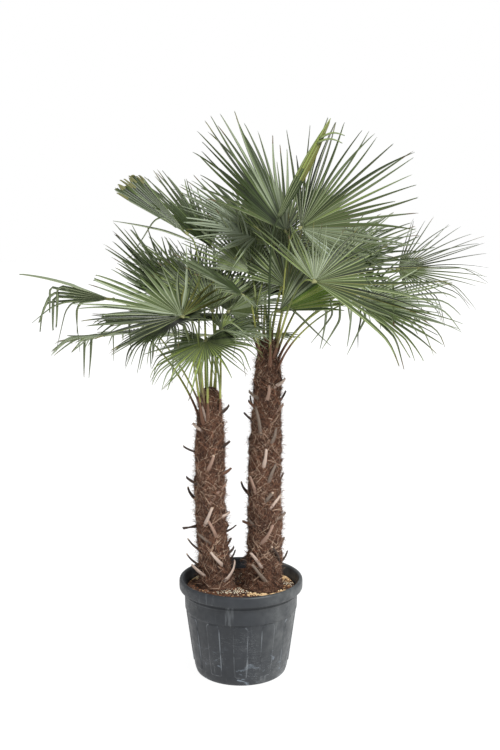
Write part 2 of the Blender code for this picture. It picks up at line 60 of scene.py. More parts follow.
# Pot
PANEL_COUNT = 12
PANEL_HALF_DEG = 7.65
PANEL_LIFT = 0.0035
PANEL_LOW_Z = 0.040
PANEL_TOP_Z = 0.289
PANEL_CORNER = 0.016
POT_STEPS = 540
POT_FOOT = ((0.0005, 0.002), (0.180, 0.002), (0.186, 0.0), (0.196, 0.0), (0.2005, 0.0012), (0.2045, 0.005),
            (0.2085, 0.016))
POT_BODY_Z = (0.030, 0.036, 0.040, 0.043, 0.046, 0.050, 0.08, 0.12, 0.16, 0.20, 0.24,
              0.262, 0.268, 0.273, 0.277, 0.281, 0.285, 0.289)
POT_RIM = ((0.2482, 0.2925), (0.2505, 0.2950), (0.2530, 0.2962), (0.2540, 0.2985), (0.2545, 0.305),
           (0.2555, 0.340), (0.2562, 0.360), (0.2564, 0.363), (0.2580, 0.3645), (0.2580, 0.3700),
           (0.2566, 0.3715), (0.2570, 0.3820), (0.2585, 0.3845), (0.2640, 0.3855), (0.2740, 0.3860),
           (0.2775, 0.3875), (0.2790, 0.3910), (0.2798, 0.400), (0.2798, 0.418), (0.2790, 0.4255),
           (0.2770, 0.4305), (0.2735, 0.4332), (0.2700, 0.4340))
POT_INSIDE = ((0.2665, 0.4335), (0.2635, 0.4310), (0.2618, 0.4270), (0.2600, 0.415), (0.2575, 0.400),
              (0.2530, 0.388), (0.2505, 0.345), (0.2490, 0.300), (0.2425, 0.290), (0.2230, 0.150),
              (0.202, 0.0065), (0.0005, 0.006))

# Soil
SOIL_Z = 0.386
SOIL_R = 0.2495
SOIL_RINGS = 46
SOIL_STEPS = 150
CRUMB_ROOM = 0.243
CHIP_COUNT = 620
# Centre, spread and count
PERLITE_GROUPS = ((-0.045, -0.074, 0.050, 120), (0.200, 0.030, 0.030, 70), (-0.205, 0.110, 0.024, 40),
                  (0.015, -0.060, 0.03, 40), (0.0, 0.12, 0.10, 50), (0.15, 0.16, 0.07, 50),
                  (-0.15, 0.15, 0.06, 40))
# Centre, half width, depth and count
SAND_PATCHES = ((0.105, -0.113, 0.075, 0.008, 420), (0.208, 0.105, 0.028, 0.030, 260),
                (0.185, -0.070, 0.020, 0.020, 90), (-0.212, 0.125, 0.018, 0.022, 110))

# Trunks: height, centre x, radius
TRUNK_Y = {"left": 0.020, "right": 0.000}
TRUNK_LINE = {
    "left": ((0.387, -0.112, 0.087), (0.415, -0.115, 0.077), (0.46, -0.121, 0.069), (0.55, -0.127, 0.066),
             (0.66, -0.134, 0.066), (0.78, -0.140, 0.065), (0.90, -0.140, 0.064), (1.01, -0.138, 0.063),
             (1.10, -0.137, 0.057), (1.20, -0.137, 0.051), (1.25, -0.137, 0.045), (1.285, -0.137, 0.030),
             (1.30, -0.137, 0.012)),
    "right": ((0.387, 0.096, 0.095), (0.415, 0.098, 0.086), (0.46, 0.102, 0.078), (0.56, 0.107, 0.073),
              (0.68, 0.108, 0.072), (0.79, 0.108, 0.071), (0.91, 0.108, 0.070), (1.02, 0.109, 0.068),
              (1.14, 0.112, 0.064), (1.25, 0.116, 0.059), (1.34, 0.118, 0.055), (1.40, 0.119, 0.050),
              (1.52, 0.120, 0.024)),
}
SEAT_TOP = {"left": 1.27, "right": 1.52}
TRUNK_COLUMNS = 96
TRUNK_ROW = 0.005
GOLDEN_DEG = 137.508
WIDE_STRANDS = 1500
THIN_STRANDS = 1800
LOOSE_HAIRS = 4600

# Old leaf bases seen in front: picture points of the foot and of the cut end
FRONT_STUBS = {
    "left": (
        (211, 503, 225, 484), (205, 524, 212, 507), (216, 537, 208, 520), (209, 542, 199, 533),
        (223, 565, 211, 551), (204, 576, 192, 564), (226, 580, 233, 560), (195, 452, 184, 446),
        (197, 484, 187, 477), (195, 526, 184, 528), (197, 549, 189, 539), (197, 564, 188, 554),
        (200, 430, 193, 423), (220, 414, 228, 405), (221, 447, 229, 441), (221, 475, 230, 468),
        (222, 517, 229, 512), (225, 532, 235, 525), (227, 555, 233, 547), (207, 470, 213, 455),
        (205, 420, 203, 406),
    ),
    "right": (
        (259, 433, 256, 407), (271, 444, 274, 428), (263, 467, 266, 449), (270, 482, 275, 464),
        (255, 494, 251, 476), (265, 502, 272, 492), (272, 508, 279, 494), (260, 544, 271, 524),
        (255, 526, 250, 519), (262, 568, 252, 552), (266, 582, 253, 564), (280, 560, 270, 546),
        (257, 398, 252, 391), (255, 408, 249, 401), (253, 421, 245, 413), (276, 386, 284, 379),
        (276, 413, 283, 404), (250, 524, 243, 521), (249, 556, 241, 561), (277, 520, 283, 512),
        (266, 400, 268, 385),
    ),
}
REAR_STUBS = {"left": 13, "right": 16}

# Fronds: palm, hub point, heading, rise and roll of the blade, radius, fan from/to,
# cup, sag, hang, seat azimuth, seat drop below the trunk top, palette, share that is joined
FRONDS = (
    ("right", (0.199, 0.130, 1.987), 173, 56, 21, 0.592, -62, 85, 0.04, 0.04, 0.0, 70, 0.020,
     "night deep deep", 0.36),
    ("right", (0.259, -0.020, 2.000), -6, 30, -54, 0.560, -75, 85, 0.04, 0.08, 0.1, -5, 0.025,
     "night deep mid mist", 0.36),
    ("right", (0.304, -0.300, 1.783), -15, -16, -52, 0.540, -160, 25, 0.04, 0.12, 0.2, -50, 0.060,
     "mid grey mid olive olive", 0.34),
    ("right", (0.700, 0.100, 1.815), -4, 8, -37, 0.420, -75, 85, 0.04, 0.15, 0.3, 12, 0.085,
     "night deep", 0.20),
    ("right", (0.495, -0.200, 1.690), -8, -5, -28, 0.465, -88, 60, 0.04, 0.20, 0.3, -24, 0.110,
     "mist fresh mist fresh", 0.34),
    ("right", (0.165, -0.120, 1.650), -20, 10, -38, 0.330, -85, 15, 0.04, 0.08, 0.0, -78, 0.100,
     "deep vivid", 0.62),
    ("left", (-0.150, -0.100, 1.520), -95, -30, -12, 0.330, -140, 140, 0.00, 0.20, 0.3, 262, 0.095,
     "grey fresh fresh mid", 0.38),
    ("left", (-0.243, -0.200, 1.632), 188, 6, 32, 0.450, -50, 145, 0.04, 0.15, 0.1, -115, 0.060,
     "deep silver mist olive", 0.34),
    ("left", (-0.258, 0.150, 1.646), 178, 48, 14, 0.480, -60, 75, 0.04, 0.04, 0.0, 137, 0.050,
     "night", 0.42),
    ("left", (-0.230, -0.080, 1.978), 178, 40, 30, 0.365, -20, 20, 0.00, 0.02, 0.0, 215, 0.020,
     "mid olive", 0.84),
    ("left", (-0.135, 0.150, 1.916), 180, 49, 18, 0.446, -45, 80, 0.04, 0.04, 0.0, 88, 0.020,
     "night deep", 0.38),
    ("left", (-0.560, 0.000, 1.690), 181, 6, -60, 0.420, -18, 12, 0.00, 0.06, 0.9, 180, 0.050,
     "olive deep", 0.36),
    ("left", (-0.292, -0.100, 1.609), 205, -28, 0, 0.310, -140, 140, 0.00, 0.30, 0.4, 235, 0.110,
     "night deep", 0.36),
    ("left", (-0.055, 0.110, 1.630), 20, 36, -25, 0.320, -95, 95, 0.05, 0.15, 0.0, 35, 0.055, "mid", 0.42),
    ("right", (0.085, 0.300, 1.975), 165, 32, 18, 0.460, -100, 100, 0.00, 0.08, 0.0, 105, 0.050,
     "mist deep", 0.40),
    ("right", (0.270, 0.270, 1.850), 52, 24, 0, 0.500, -110, 110, 0.05, 0.15, 0.1, 50, 0.050, "mid", 0.44),
    ("right", (0.100, 0.420, 1.710), 95, 2, 0, 0.480, -105, 105, 0.05, 0.20, 0.1, 88, 0.080, "mid", 0.44),
    ("right", (0.460, 0.260, 1.650), 30, -8, 0, 0.460, -105, 105, 0.05, 0.20, 0.2, 34, 0.105, "grey", 0.44),
    ("right", (-0.060, 0.360, 1.640), 128, -4, 0, 0.440, -100, 100, 0.05, 0.20, 0.2, 125, 0.100,
     "mid", 0.44),
    ("right", (0.240, 0.430, 1.680), 64, 4, 0, 0.420, -95, 95, 0.05, 0.15, 0.1, 66, 0.118, "mid", 0.44),
    ("left", (-0.300, 0.360, 1.560), 120, 2, 0, 0.460, -105, 105, 0.05, 0.18, 0.2, 115, 0.085, "mid", 0.44),
    ("left", (-0.090, 0.400, 1.490), 85, -8, 0, 0.430, -100, 100, 0.05, 0.18, 0.1, 82, 0.100, "grey", 0.44),
    ("left", (-0.500, 0.230, 1.520), 150, -8, 0, 0.440, -100, 100, 0.05, 0.22, 0.2, 150, 0.112,
     "mid", 0.44),
    ("left", (-0.125, 0.060, 1.640), 100, 66, 0, 0.330, -62, 62, 0.05, 0.05, 0.0, 60, 0.035,
     "fresh mid", 0.50),
    ("left", (-0.200, 0.200, 1.720), 140, 40, 10, 0.360, -90, 90, 0.05, 0.10, 0.0, 110, 0.045,
     "mid grey", 0.44),
    ("left", (-0.080, -0.060, 1.565), 25, 8, -12, 0.250, -90, 90, 0.04, 0.20, 0.2, -35, 0.080,
     "fresh grey", 0.40),
    ("right", (0.050, 0.140, 1.800), 115, 58, 0, 0.360, -85, 85, 0.05, 0.08, 0.0, 130, 0.035,
     "mid grey", 0.44),
    ("right", (0.205, 0.060, 1.740), 75, 60, 0, 0.370, -80, 80, 0.05, 0.08, 0.0, 30, 0.022,
     "mid olive", 0.42),
    ("right", (0.400, 0.130, 1.840), 25, 28, -20, 0.430, -100, 90, 0.04, 0.15, 0.1, 20, 0.060,
     "mist grey", 0.40),
    ("right", (0.010, -0.150, 1.720), 200, 28, 12, 0.360, -90, 90, 0.04, 0.15, 0.1, 215, 0.050,
     "grey olive mid", 0.40),
    ("right", (0.150, 0.240, 1.930), 95, 60, 0, 0.340, -100, 100, 0.05, 0.08, 0.0, 180, 0.022,
     "mid grey deep", 0.40),
)
# Single strips that hang or lie apart: frond, depth, picture points, half width, surfaces (painted lit side
# and painted shaded side)
LOOSE_STRIPS = (
    ("left_04", -0.100, ((196, 243), (165, 231), (137, 225), (113, 221)), 0.0070, "grey dark"),
    ("left_04", -0.120, ((176, 228), (163, 217), (154, 221), (144, 237), (131, 257)), 0.0065, "green dark"),
    ("left_02", -0.215, ((176, 314), (140, 308), (105, 305), (73, 304)), 0.0095, "mist sage"),
    ("left_02", -0.215, ((176, 315), (146, 316), (120, 325), (104, 337)), 0.0075, "grey green"),
    ("left_02", -0.230, ((182, 309), (186, 290), (187, 262), (186, 245)), 0.0080, "mist grey"),
    ("left_06", -0.010, ((104, 300), (82, 302), (77, 308), (77, 334)), 0.0070, "olive dark"),
    ("left_06", -0.020, ((100, 301), (80, 303), (76, 312), (80, 352)), 0.0060, "sage dark"),
    ("left_06", -0.015, ((98, 301), (72, 303), (65, 312), (56, 352)), 0.0055, "dark black"),
    ("left_06", -0.005, ((98, 300), (66, 302), (52, 307), (32, 323)), 0.0065, "green dark"),
    ("right_06", -0.150, ((284, 303), (299, 315), (315, 331), (331, 346)), 0.0065, "green dark"),
    ("right_03", -0.300, ((340, 300), (340, 320), (331, 335), (322, 349)), 0.0070, "grey green"),
    ("right_03", -0.290, ((330, 298), (333, 315), (322, 330), (311, 343)), 0.0060, "sage dark"),
    ("right_05", -0.200, ((360, 304), (361, 320), (358, 333), (358, 348)), 0.0055, "dark black"),
    ("right_05", -0.210, ((362, 305), (366, 318), (357, 335), (347, 355)), 0.0070, "mist sage"),
    ("left_14", -0.090, ((219, 330), (231, 322), (246, 334), (261, 345)), 0.0065, "fresh dark"),
    ("left_01", -0.110, ((207, 339), (222, 330), (240, 334), (254, 343)), 0.0065, "sage dark"),
)
SPEAR = (
    (0.120, 0.000, 1.5203), (0.123, 0.000, 1.620), (0.128, -0.004, 1.850), (0.140, -0.004, 1.990),
    (0.172, 0.006, 2.060), (0.240, 0.025, 2.190), (0.310, 0.050, 2.320), (0.372, 0.072, 2.436),
    (0.396, 0.080, 2.480),
)

# Fans: finger and segment spacing, hub, bend, and shares along the joined and the free part
FINGERS_PER_DEG = 1.0 / 13.5
SEGMENT_DEG = 5.4
FOLDED_BELOW_DEG = 45
HUB_R = 0.014
BEND_AT = 0.74
SIDE_SHORTER = 0.30
SHORT_UP_FAN = 2
SHORT_UP = 0.36
BLADE_STEPS = 28
JOINED_SHARES = (0.0, 0.12, 0.30, 0.52, 0.76, 1.0)
FREE_SHARES = (0.08, 0.18, 0.30, 0.42, 0.50, 0.56, 0.64, 0.74, 0.84, 0.93, 1.0)
BEND_RUN = 0.17
FOLD_DEPTH = 0.95
FREE_FOLD_DEG = 52.0
FLAT_FOLD_DEG = 34.0
RIB_SHARE = 0.17
BLADE_HALF_T = 0.0006
KEEL = 0.0012

# Strips: how they clump, swing, lift, twist and narrow, and which are broken or torn short
CLUMP = 0.0136
SWING = 0.042
LIFT = 0.050
TWIST_DEG = 50.0
SLIM_TAPER = (0.82, 1.45)
BROAD_TAPER = (0.62, 2.0)
FOLDED_WIDER = 1.3
BROKEN_ABOVE = 0.84
BROKEN_ABOVE_FOLDED = 0.1
TORN_ABOVE = 0.86
TORN_SHORTER = 0.22
PADDLE_ABOVE = 0.8
BROAD_PITCH = 1.5
PADDLE_PITCH = 0.6

# Leaf stalks
STALK_STEPS = 22
STALK_HALF_W = 0.0042
STALK_HALF_T = 0.0036
TOOTH_RADII = (0.0012, 0.0011, 0.0003)
STALK_OUTLINE = ((1.0, 0.1), (0.72, 0.75), (0.0, 0.45), (-0.72, 0.75),
                 (-1.0, 0.1), (-0.7, -0.75), (0.0, -1.0), (0.7, -0.75))


# Materials

def tone(red, green, blue):
    """Light-linear colour of three screen values."""
    return tuple(((c / 255.0 + 0.055) / 1.055) ** 2.4 if c > 10 else c / 255.0 / 12.92
                 for c in (red, green, blue))


def finish_of(name, colour, roughness):
    """A new surface with one colour, and its shader."""
    mat = bpy.data.materials.new(name)
    mat.use_nodes = True
    shader = mat.node_tree.nodes["Principled BSDF"]
    shader.inputs["Base Color"].default_value = (*tone(*colour), 1.0)
    shader.inputs["Roughness"].default_value = roughness
    return mat, shader


class Web:
    """Node tree helper for the patterned finishes."""

    def __init__(self, mat):
        self.tree = mat.node_tree
        self.place = self.node("ShaderNodeTexCoord").outputs["Object"]

    def node(self, kind, **settings):
        """Add a node."""
        made = self.tree.nodes.new(kind)
        for name, value in settings.items():
            setattr(made, name, value)
        return made

    def link(self, output, socket):
        """Join two sockets."""
        self.tree.links.new(output, socket)

    def stretched(self, scale):
        """Object coordinates scaled per axis."""
        mapping = self.node("ShaderNodeMapping")
        mapping.inputs["Scale"].default_value = scale
        self.link(self.place, mapping.inputs["Vector"])
        return mapping.outputs["Vector"]

    def noise(self, scale, detail=4.0, rough=0.55, place=None, distortion=0.0):
        """Noise value."""
        made = self.node("ShaderNodeTexNoise")
        made.inputs["Scale"].default_value = scale
        made.inputs["Detail"].default_value = detail
        made.inputs["Roughness"].default_value = rough
        made.inputs["Distortion"].default_value = distortion
        self.link(place or self.place, made.inputs["Vector"])
        return made.outputs["Fac"]

    def remap(self, value, low, high, to_low=0.0, to_high=1.0):
        """Stretch a value between two limits."""
        made = self.node("ShaderNodeMapRange")
        made.inputs["From Min"].default_value = low
        made.inputs["From Max"].default_value = high
        made.inputs["To Min"].default_value = to_low
        made.inputs["To Max"].default_value = to_high
        self.link(value, made.inputs["Value"])
        return made.outputs["Result"]

    def ramp(self, value, stops):
        """Colours along a value."""
        made = self.node("ShaderNodeValToRGB")
        elements = made.color_ramp.elements
        while len(elements) < len(stops):
            elements.new(0.5)
        for element, (spot, colour) in zip(elements, stops):
            element.position = spot
            element.color = (*tone(*colour), 1.0)
        self.link(value, made.inputs["Fac"])
        return made.outputs["Color"]

    def mix(self, share, first, second):
        """Blend two colours by a share; the second may be plain screen values."""
        made = self.node("ShaderNodeMix", data_type="RGBA")
        self.link(share, made.inputs["Factor"])
        self.link(first, made.inputs["A"])
        if isinstance(second, tuple):
            made.inputs["B"].default_value = (*tone(*second), 1.0)
        else:
            self.link(second, made.inputs["B"])
        return made.outputs["Result"]

    def both(self, first, second, operation="MULTIPLY"):
        """Combine two values."""
        made = self.node("ShaderNodeMath", operation=operation)
        self.link(first, made.inputs[0])
        if isinstance(second, float):
            made.inputs[1].default_value = second
        else:
            self.link(second, made.inputs[1])
        return made.outputs["Value"]

    def bump(self, height, shader, strength, distance):
        """Fine relief."""
        made = self.node("ShaderNodeBump")
        made.inputs["Strength"].default_value = strength
        made.inputs["Distance"].default_value = distance
        self.link(height, made.inputs["Height"])
        self.link(made.outputs["Normal"], shader.inputs["Normal"])


def pot_plastic():
    """Dark blue-grey nursery plastic with a dusty mottle and painted light on its +X side, streaks and
    scratches.
    """
    mat, shader = finish_of("pot_plastic", (38, 42, 47), 0.5)
    web = Web(mat)
    mottle = web.noise(9.0, 5.0)
    colour = web.ramp(mottle, ((0.30, (30, 34, 39)), (0.55, (38, 42, 47)), (0.75, (48, 51, 56))))
    apart = web.node("ShaderNodeSeparateXYZ")
    web.link(web.place, apart.inputs["Vector"])
    # Pale dusty mottle that grows towards +X: real dusting, and painted light on the side the key lamp comes
    # from.
    side = web.remap(apart.outputs["X"], 0.04, 0.27)
    dust_and_painted_light = web.both(side, web.remap(web.noise(14.0, 6.0, 0.65), 0.30, 0.62))
    colour = web.mix(web.both(dust_and_painted_light, 0.55), colour, (122, 125, 124))
    streaks = web.noise(1.0, 5.0, 0.6, web.stretched((34.0, 34.0, 3.2)), 0.4)
    colour = web.mix(web.remap(streaks, 0.60, 0.78, 0.0, 0.42), colour, (140, 145, 148))
    scratch = web.noise(1.0, 3.0, 0.7, web.stretched((18.0, 18.0, 60.0)), 2.2)
    thin = web.remap(web.both(web.both(scratch, -0.5, "ADD"), 0.0, "MAXIMUM"), 0.0, 0.012)
    centred = web.both(web.both(scratch, -0.56, "ADD"), 0.0, "ABSOLUTE")
    line = web.both(web.remap(centred, 0.0, 0.012, 1.0, 0.0), thin)
    patch = web.remap(web.noise(7.0, 2.0), 0.50, 0.62)
    colour = web.mix(web.both(web.both(line, patch), 0.45), colour, (170, 174, 176))
    # Pale blotchy lines along the raised panel edges.
    panel_edge = web.node("ShaderNodeAttribute", attribute_name="panel_edge").outputs["Fac"]
    blotch = web.noise(1.0, 5.0, 0.65, web.stretched((22.0, 22.0, 9.0)), 0.6)
    edge_lines = web.both(panel_edge, web.remap(blotch, 0.44, 0.60))
    colour = web.mix(web.both(edge_lines, 0.6), colour, (140, 146, 152))
    scuff = web.remap(web.noise(1.0, 4.0, 0.6, web.stretched((16.0, 16.0, 34.0)), 0.8), 0.60, 0.68)
    low_down = web.remap(apart.outputs["Z"], 0.20, 0.06)
    colour = web.mix(web.both(web.both(scuff, low_down), 0.55), colour, (150, 162, 174))
    web.link(colour, shader.inputs["Base Color"])
    web.link(web.remap(web.noise(40.0, 3.0), 0.3, 0.7, 0.40, 0.60), shader.inputs["Roughness"])
    web.bump(web.noise(160.0, 3.0), shader, 0.12, 0.0006)
    return mat


def trunk_felt():
    """Dark brown matted fibre under the loose hair."""
    mat, shader = finish_of("trunk_felt", (78, 54, 42), 0.95)
    web = Web(mat)
    fibres = web.noise(1.0, 6.0, 0.7, web.stretched((150.0, 150.0, 60.0)), 1.4)
    stops = ((0.34, (40, 25, 18)), (0.47, (78, 53, 40)), (0.58, (122, 90, 70)), (0.72, (172, 142, 118)))
    colour = web.ramp(fibres, stops)
    # Random dark patches: painted shade of hollows in the mat.
    patches = web.remap(web.noise(11.0, 3.0), 0.40, 0.66)
    colour = web.mix(web.both(patches, 0.5), colour, (52, 33, 25))
    web.link(colour, shader.inputs["Base Color"])
    web.bump(fibres, shader, 0.7, 0.003)
    return mat


def soil_bark():
    """Rusty bark soil."""
    mat, shader = finish_of("soil_bark", (80, 54, 38), 0.95)
    web = Web(mat)
    crumbs = web.noise(95.0, 6.0, 0.7)
    stops = ((0.32, (34, 20, 13)), (0.48, (74, 47, 31)), (0.62, (112, 78, 54)), (0.82, (150, 112, 80)))
    colour = web.ramp(crumbs, stops)
    web.link(colour, shader.inputs["Base Color"])
    web.bump(crumbs, shader, 0.8, 0.004)
    return mat


PLAIN = {
    "leaf_black": ((34, 43, 22), 0.40), "leaf_dark": ((54, 67, 35), 0.40),
    "leaf_green": ((80, 95, 52), 0.40), "leaf_sage": ((106, 120, 82), 0.42),
    "leaf_grey": ((130, 142, 112), 0.45), "leaf_mist": ((160, 172, 146), 0.45),
    "leaf_silver": ((180, 192, 172), 0.45), "leaf_deep": ((58, 84, 20), 0.4),
    "leaf_fresh": ((122, 140, 78), 0.42), "leaf_vivid": ((100, 130, 30), 0.40),
    "leaf_lime": ((140, 158, 70), 0.42), "leaf_olive": ((112, 114, 54), 0.45),
    "under_sage": ((104, 116, 84), 0.55), "under_mist": ((146, 158, 130), 0.55),
    "under_lime": ((118, 136, 74), 0.55),
    "rib_pale": ((162, 170, 132), 0.45), "rib_olive": ((122, 128, 84), 0.45),
    "tip_dry": ((100, 86, 56), 0.7), "tip_olive": ((104, 104, 56), 0.6),
    "stalk_green": ((108, 120, 62), 0.45), "stalk_lime": ((156, 160, 84), 0.45),
    "stalk_tan": ((120, 106, 70), 0.6), "hastula": ((136, 138, 92), 0.6),
    "fibre_dark": ((62, 40, 30), 0.9), "fibre_brown": ((112, 80, 62), 0.9),
    "fibre_rust": ((144, 100, 76), 0.9), "fibre_tan": ((196, 168, 144), 0.9),
    "stub_face": ((192, 172, 158), 0.8), "stub_pink": ((156, 128, 112), 0.85),
    "stub_grey": ((120, 106, 94), 0.85), "stub_brown": ((104, 74, 58), 0.85),
    "stub_painted_shade": ((62, 48, 40), 0.85), "stub_cut": ((190, 168, 148), 0.85),
    "chip_dark": ((60, 38, 27), 0.9), "chip_rust": ((118, 76, 50), 0.9), "chip_tan": ((168, 130, 92), 0.9),
    "perlite": ((240, 230, 204), 0.8), "sand": ((224, 192, 146), 0.95),
}


def make_finishes():
    """Every surface by name."""
    made = {name: finish_of(name, colour, roughness)[0] for name, (colour, roughness) in PLAIN.items()}
    made["pot_plastic"] = pot_plastic()
    made["trunk_felt"] = trunk_felt()
    made["soil_bark"] = soil_bark()
    return made


FINISH = make_finishes()

# Lit side, shaded side, under side and rib that a frond's segments take in turn by chance
PALETTES = {
    "night": ("dark black green olive", "black black green pale", "green black green pale",
              "dark black sage olive"),
    "deep": ("sage black sage olive", "green black sage pale", "dark black sage olive",
             "grey dark sage pale"),
    "mid": ("green black sage olive", "sage dark sage pale", "fresh dark mist pale",
            "grey green mist pale"),
    "grey": ("grey dark mist pale", "mist green mist pale", "sage black sage pale",
             "grey green sage olive"),
    "mist": ("mist green mist pale", "silver sage mist pale", "mist sage mist pale", "grey dark mist pale"),
    "silver": ("silver grey mist pale", "mist sage mist pale", "silver mist mist pale",
               "mist green mist pale"),
    "fresh": ("fresh green sage pale", "sage dark mist pale", "lime green lime pale",
              "fresh dark lime pale"),
    "olive": ("olive dark sage olive", "fresh green sage pale", "olive black sage pale",
              "sage dark sage olive"),
    "vivid": ("vivid deep lime pale", "lime vivid lime pale", "vivid black lime olive",
              "deep black lime olive"),
}


def palette_finishes(text):
    """Full surface names of a palette entry."""
    lit, shaded, under, rib = text.split()
    under_kind = "under_" if "under_" + under in PLAIN else "leaf_"
    return "leaf_" + lit, "leaf_" + shaded, under_kind + under, "rib_" + rib


# Making pieces

class Heap:
    """Points and faces that end up in one piece."""

    def __init__(self):
        self.points = []
        self.faces = []
        self.kinds = []
        self.names = []

    def kind(self, name):
        """Index of a surface in this piece."""
        if name not in self.names:
            self.names.append(name)
        return self.names.index(name)

    def skin(self, rings, kinds, late=None, late_from=10 ** 6):
        """Closed body over rings that run right-handed round the way they follow."""
        base = len(self.points)
        n = len(rings[0])
        for ring in rings:
            self.points.extend(ring)
        for i in range(len(rings) - 1):
            row = late if i >= late_from else kinds
            for j in range(n):
                k = (j + 1) % n
                a = base + i * n
                self.faces.append((a + j, a + k, a + n + k, a + n + j))
                self.kinds.append(row[j % len(row)])
        last = base + (len(rings) - 1) * n
        self.faces.append(tuple(range(base + n - 1, base - 1, -1)))
        self.kinds.append(kinds[0])
        self.faces.append(tuple(range(last, last + n)))
        self.kinds.append((late or kinds)[0])

    def piece(self, name, smooth=True):
        """The mesh object of what was heaped up."""
        mesh = bpy.data.meshes.new(name)
        mesh.from_pydata([tuple(p) for p in self.points], [], self.faces)
        for kind in self.names:
            mesh.materials.append(FINISH[kind])
        mesh.polygons.foreach_set("material_index", self.kinds)
        mesh.polygons.foreach_set("use_smooth", [smooth] * len(self.faces))
        mesh.update()
        return shown(name, mesh)


def shown(name, mesh):
    """Put a mesh in the scene."""
    thing = bpy.data.objects.new(name, mesh)
    bpy.context.scene.collection.objects.link(thing)
    return thing


def claim(piece, slot, *nodes):
    """Say what a piece rides on and stands for; the slot is not used."""
    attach(piece, "root")
    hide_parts(*nodes)


def noise(*keys):
    """A fixed number from -1 to 1 for whole-number keys."""
    total = sum((k + 1.37) * w for k, w in zip(keys, (12.9898, 78.233, 37.719, 9.151)))
    value = math.sin(total) * 43758.5453
    return 2.0 * (value - math.floor(value)) - 1.0


def sight(px, py):
    """Direction of the line of sight through a picture point."""
    flat = Vector(((px - PICTURE[0] / 2) / CAMERA_FOCAL, (PICTURE[1] / 2 - py) / CAMERA_FOCAL, -1.0))
    return (Matrix.Rotation(math.radians(CAMERA_TILT), 3, "X") @ flat).normalized()


def direction(spots, i):
    """Which way a line of points runs at one of them."""
    return (spots[min(i + 1, len(spots) - 1)] - spots[max(i - 1, 0)]).normalized()


def tube(heap, spots, radii, kinds, sides=3, flat=1.0, over=UP):
    """A tapered strand along points, flattened across the over direction."""
    rings = []
    for i, spot in enumerate(spots):
        along = direction(spots, i)
        across = over.cross(along)
        if across.length < 1e-4:
            across = Vector((1.0, 0.0, 0.0)).cross(along)
        across.normalize()
        up = along.cross(across)
        ring = []
        for j in range(sides):
            a = math.tau * j / sides
            ring.append(spot + across * (math.cos(a) * radii[i]) + up * (math.sin(a) * radii[i] * flat))
        rings.append(ring)
    heap.skin(rings, kinds)


# Fronds

def blade_frame(heading, rise, roll):
    """Axis, side and upper-face directions of a fan blade."""
    ps, ep, ro = map(math.radians, (heading, rise, roll))
    axis = Vector((math.cos(ep) * math.cos(ps), math.cos(ep) * math.sin(ps), math.sin(ep)))
    level = Vector((math.sin(ps), -math.cos(ps), 0.0))
    upper = level.cross(axis)
    side = level * math.cos(ro) + upper * math.sin(ro)
    face = upper * math.cos(ro) - level * math.sin(ro)
    return axis, side, face


class Fan:
    """Numbers of one frond, read from its row."""

    def __init__(self, index, row):
        self.index = index
        (self.palm, hub, heading, rise, roll, self.radius, self.start, self.stop, self.cup,
         self.sag, self.hang, self.seat_azimuth, self.seat_drop, self.palette, self.joined) = row
        self.hub = Vector(hub)
        self.axis, self.side, self.face = blade_frame(heading, rise, roll)
        self.fingers = round((self.stop - self.start) * FINGERS_PER_DEG)
        self.folded = self.stop - self.start < FOLDED_BELOW_DEG
        pitch = SEGMENT_DEG
        if "silver" in self.palette:
            pitch *= BROAD_PITCH
        elif self.joined > PADDLE_ABOVE:
            pitch *= PADDLE_PITCH
        self.count = round((self.stop - self.start) / pitch)
        self.period = 4.3 + 1.5 * noise(index, 51)
        self.phase = 3.0 * noise(index, 52)

    def margin_angle(self, k):
        """Angle of the margin between two segments."""
        return math.radians(self.start + (self.stop - self.start) * k / self.count)

    def ray(self, angle):
        """Direction of a line in the blade."""
        flat = self.axis * math.cos(angle) + self.side * math.sin(angle)
        return (flat + self.face * self.cup).normalized()

    def reach(self, angle):
        """Length of the blade along a line."""
        turn = abs(angle) / math.radians(150.0)
        shorter = 1.0 - SIDE_SHORTER * turn * turn
        if self.index == SHORT_UP_FAN:
            shorter -= SHORT_UP * max(0.0, 1.0 - abs(math.degrees(angle) + 92.0) / 52.0) ** 0.5
        return self.radius * shorter

    def finger_of(self, k):
        """The coarse finger that a segment is part of."""
        return min(int((k + 0.5) / self.count * self.fingers), self.fingers - 1)

    def slack(self, angle):
        """How far a segment gives way under its weight: little where it points up."""
        return self.hang * min(1.0, max(0.0, 0.95 - 1.3 * self.ray(angle).z))

    def line(self, angle, sag, drop, bend=BEND_AT, turn=0.34, run=BEND_RUN):
        """Points every 1/28 of the reach, sagging by the level run and hanging past the bend."""
        aim = self.ray(angle)
        step = self.reach(angle) / BLADE_STEPS
        points = [self.hub.copy()]
        for i in range(BLADE_STEPS + 2):
            t = (i + 0.5) / BLADE_STEPS
            level = math.sqrt(max(0.0, 1.0 - aim.z * aim.z))
            aim = (aim - UP * (sag * level * 3.0 * t * t / BLADE_STEPS)).normalized()
            if drop and bend < t < bend + run:
                aim = aim.lerp(-UP, drop * turn).normalized()
            points.append(points[-1] + aim * step)
        return points


def along_line(points, share):
    """Point at a share of the reach."""
    where = min(share * BLADE_STEPS, len(points) - 1.001)
    i = int(where)
    return points[i].lerp(points[i + 1], where - i)


def cross_ring(mid, plus, minus, face, half, keel):
    """Ten points round a folded segment: over the top from the plus margin, and back below."""
    inner_plus = mid.lerp(plus, RIB_SHARE)
    inner_minus = mid.lerp(minus, RIB_SHARE)
    thin = face * (half * 0.55)
    thick = face * half
    return [plus + thin, inner_plus + thick, mid + thick, inner_minus + thick, minus + thin,
            minus - thin, inner_minus - thick, mid - face * (half + keel), inner_plus - thick, plus - thin]


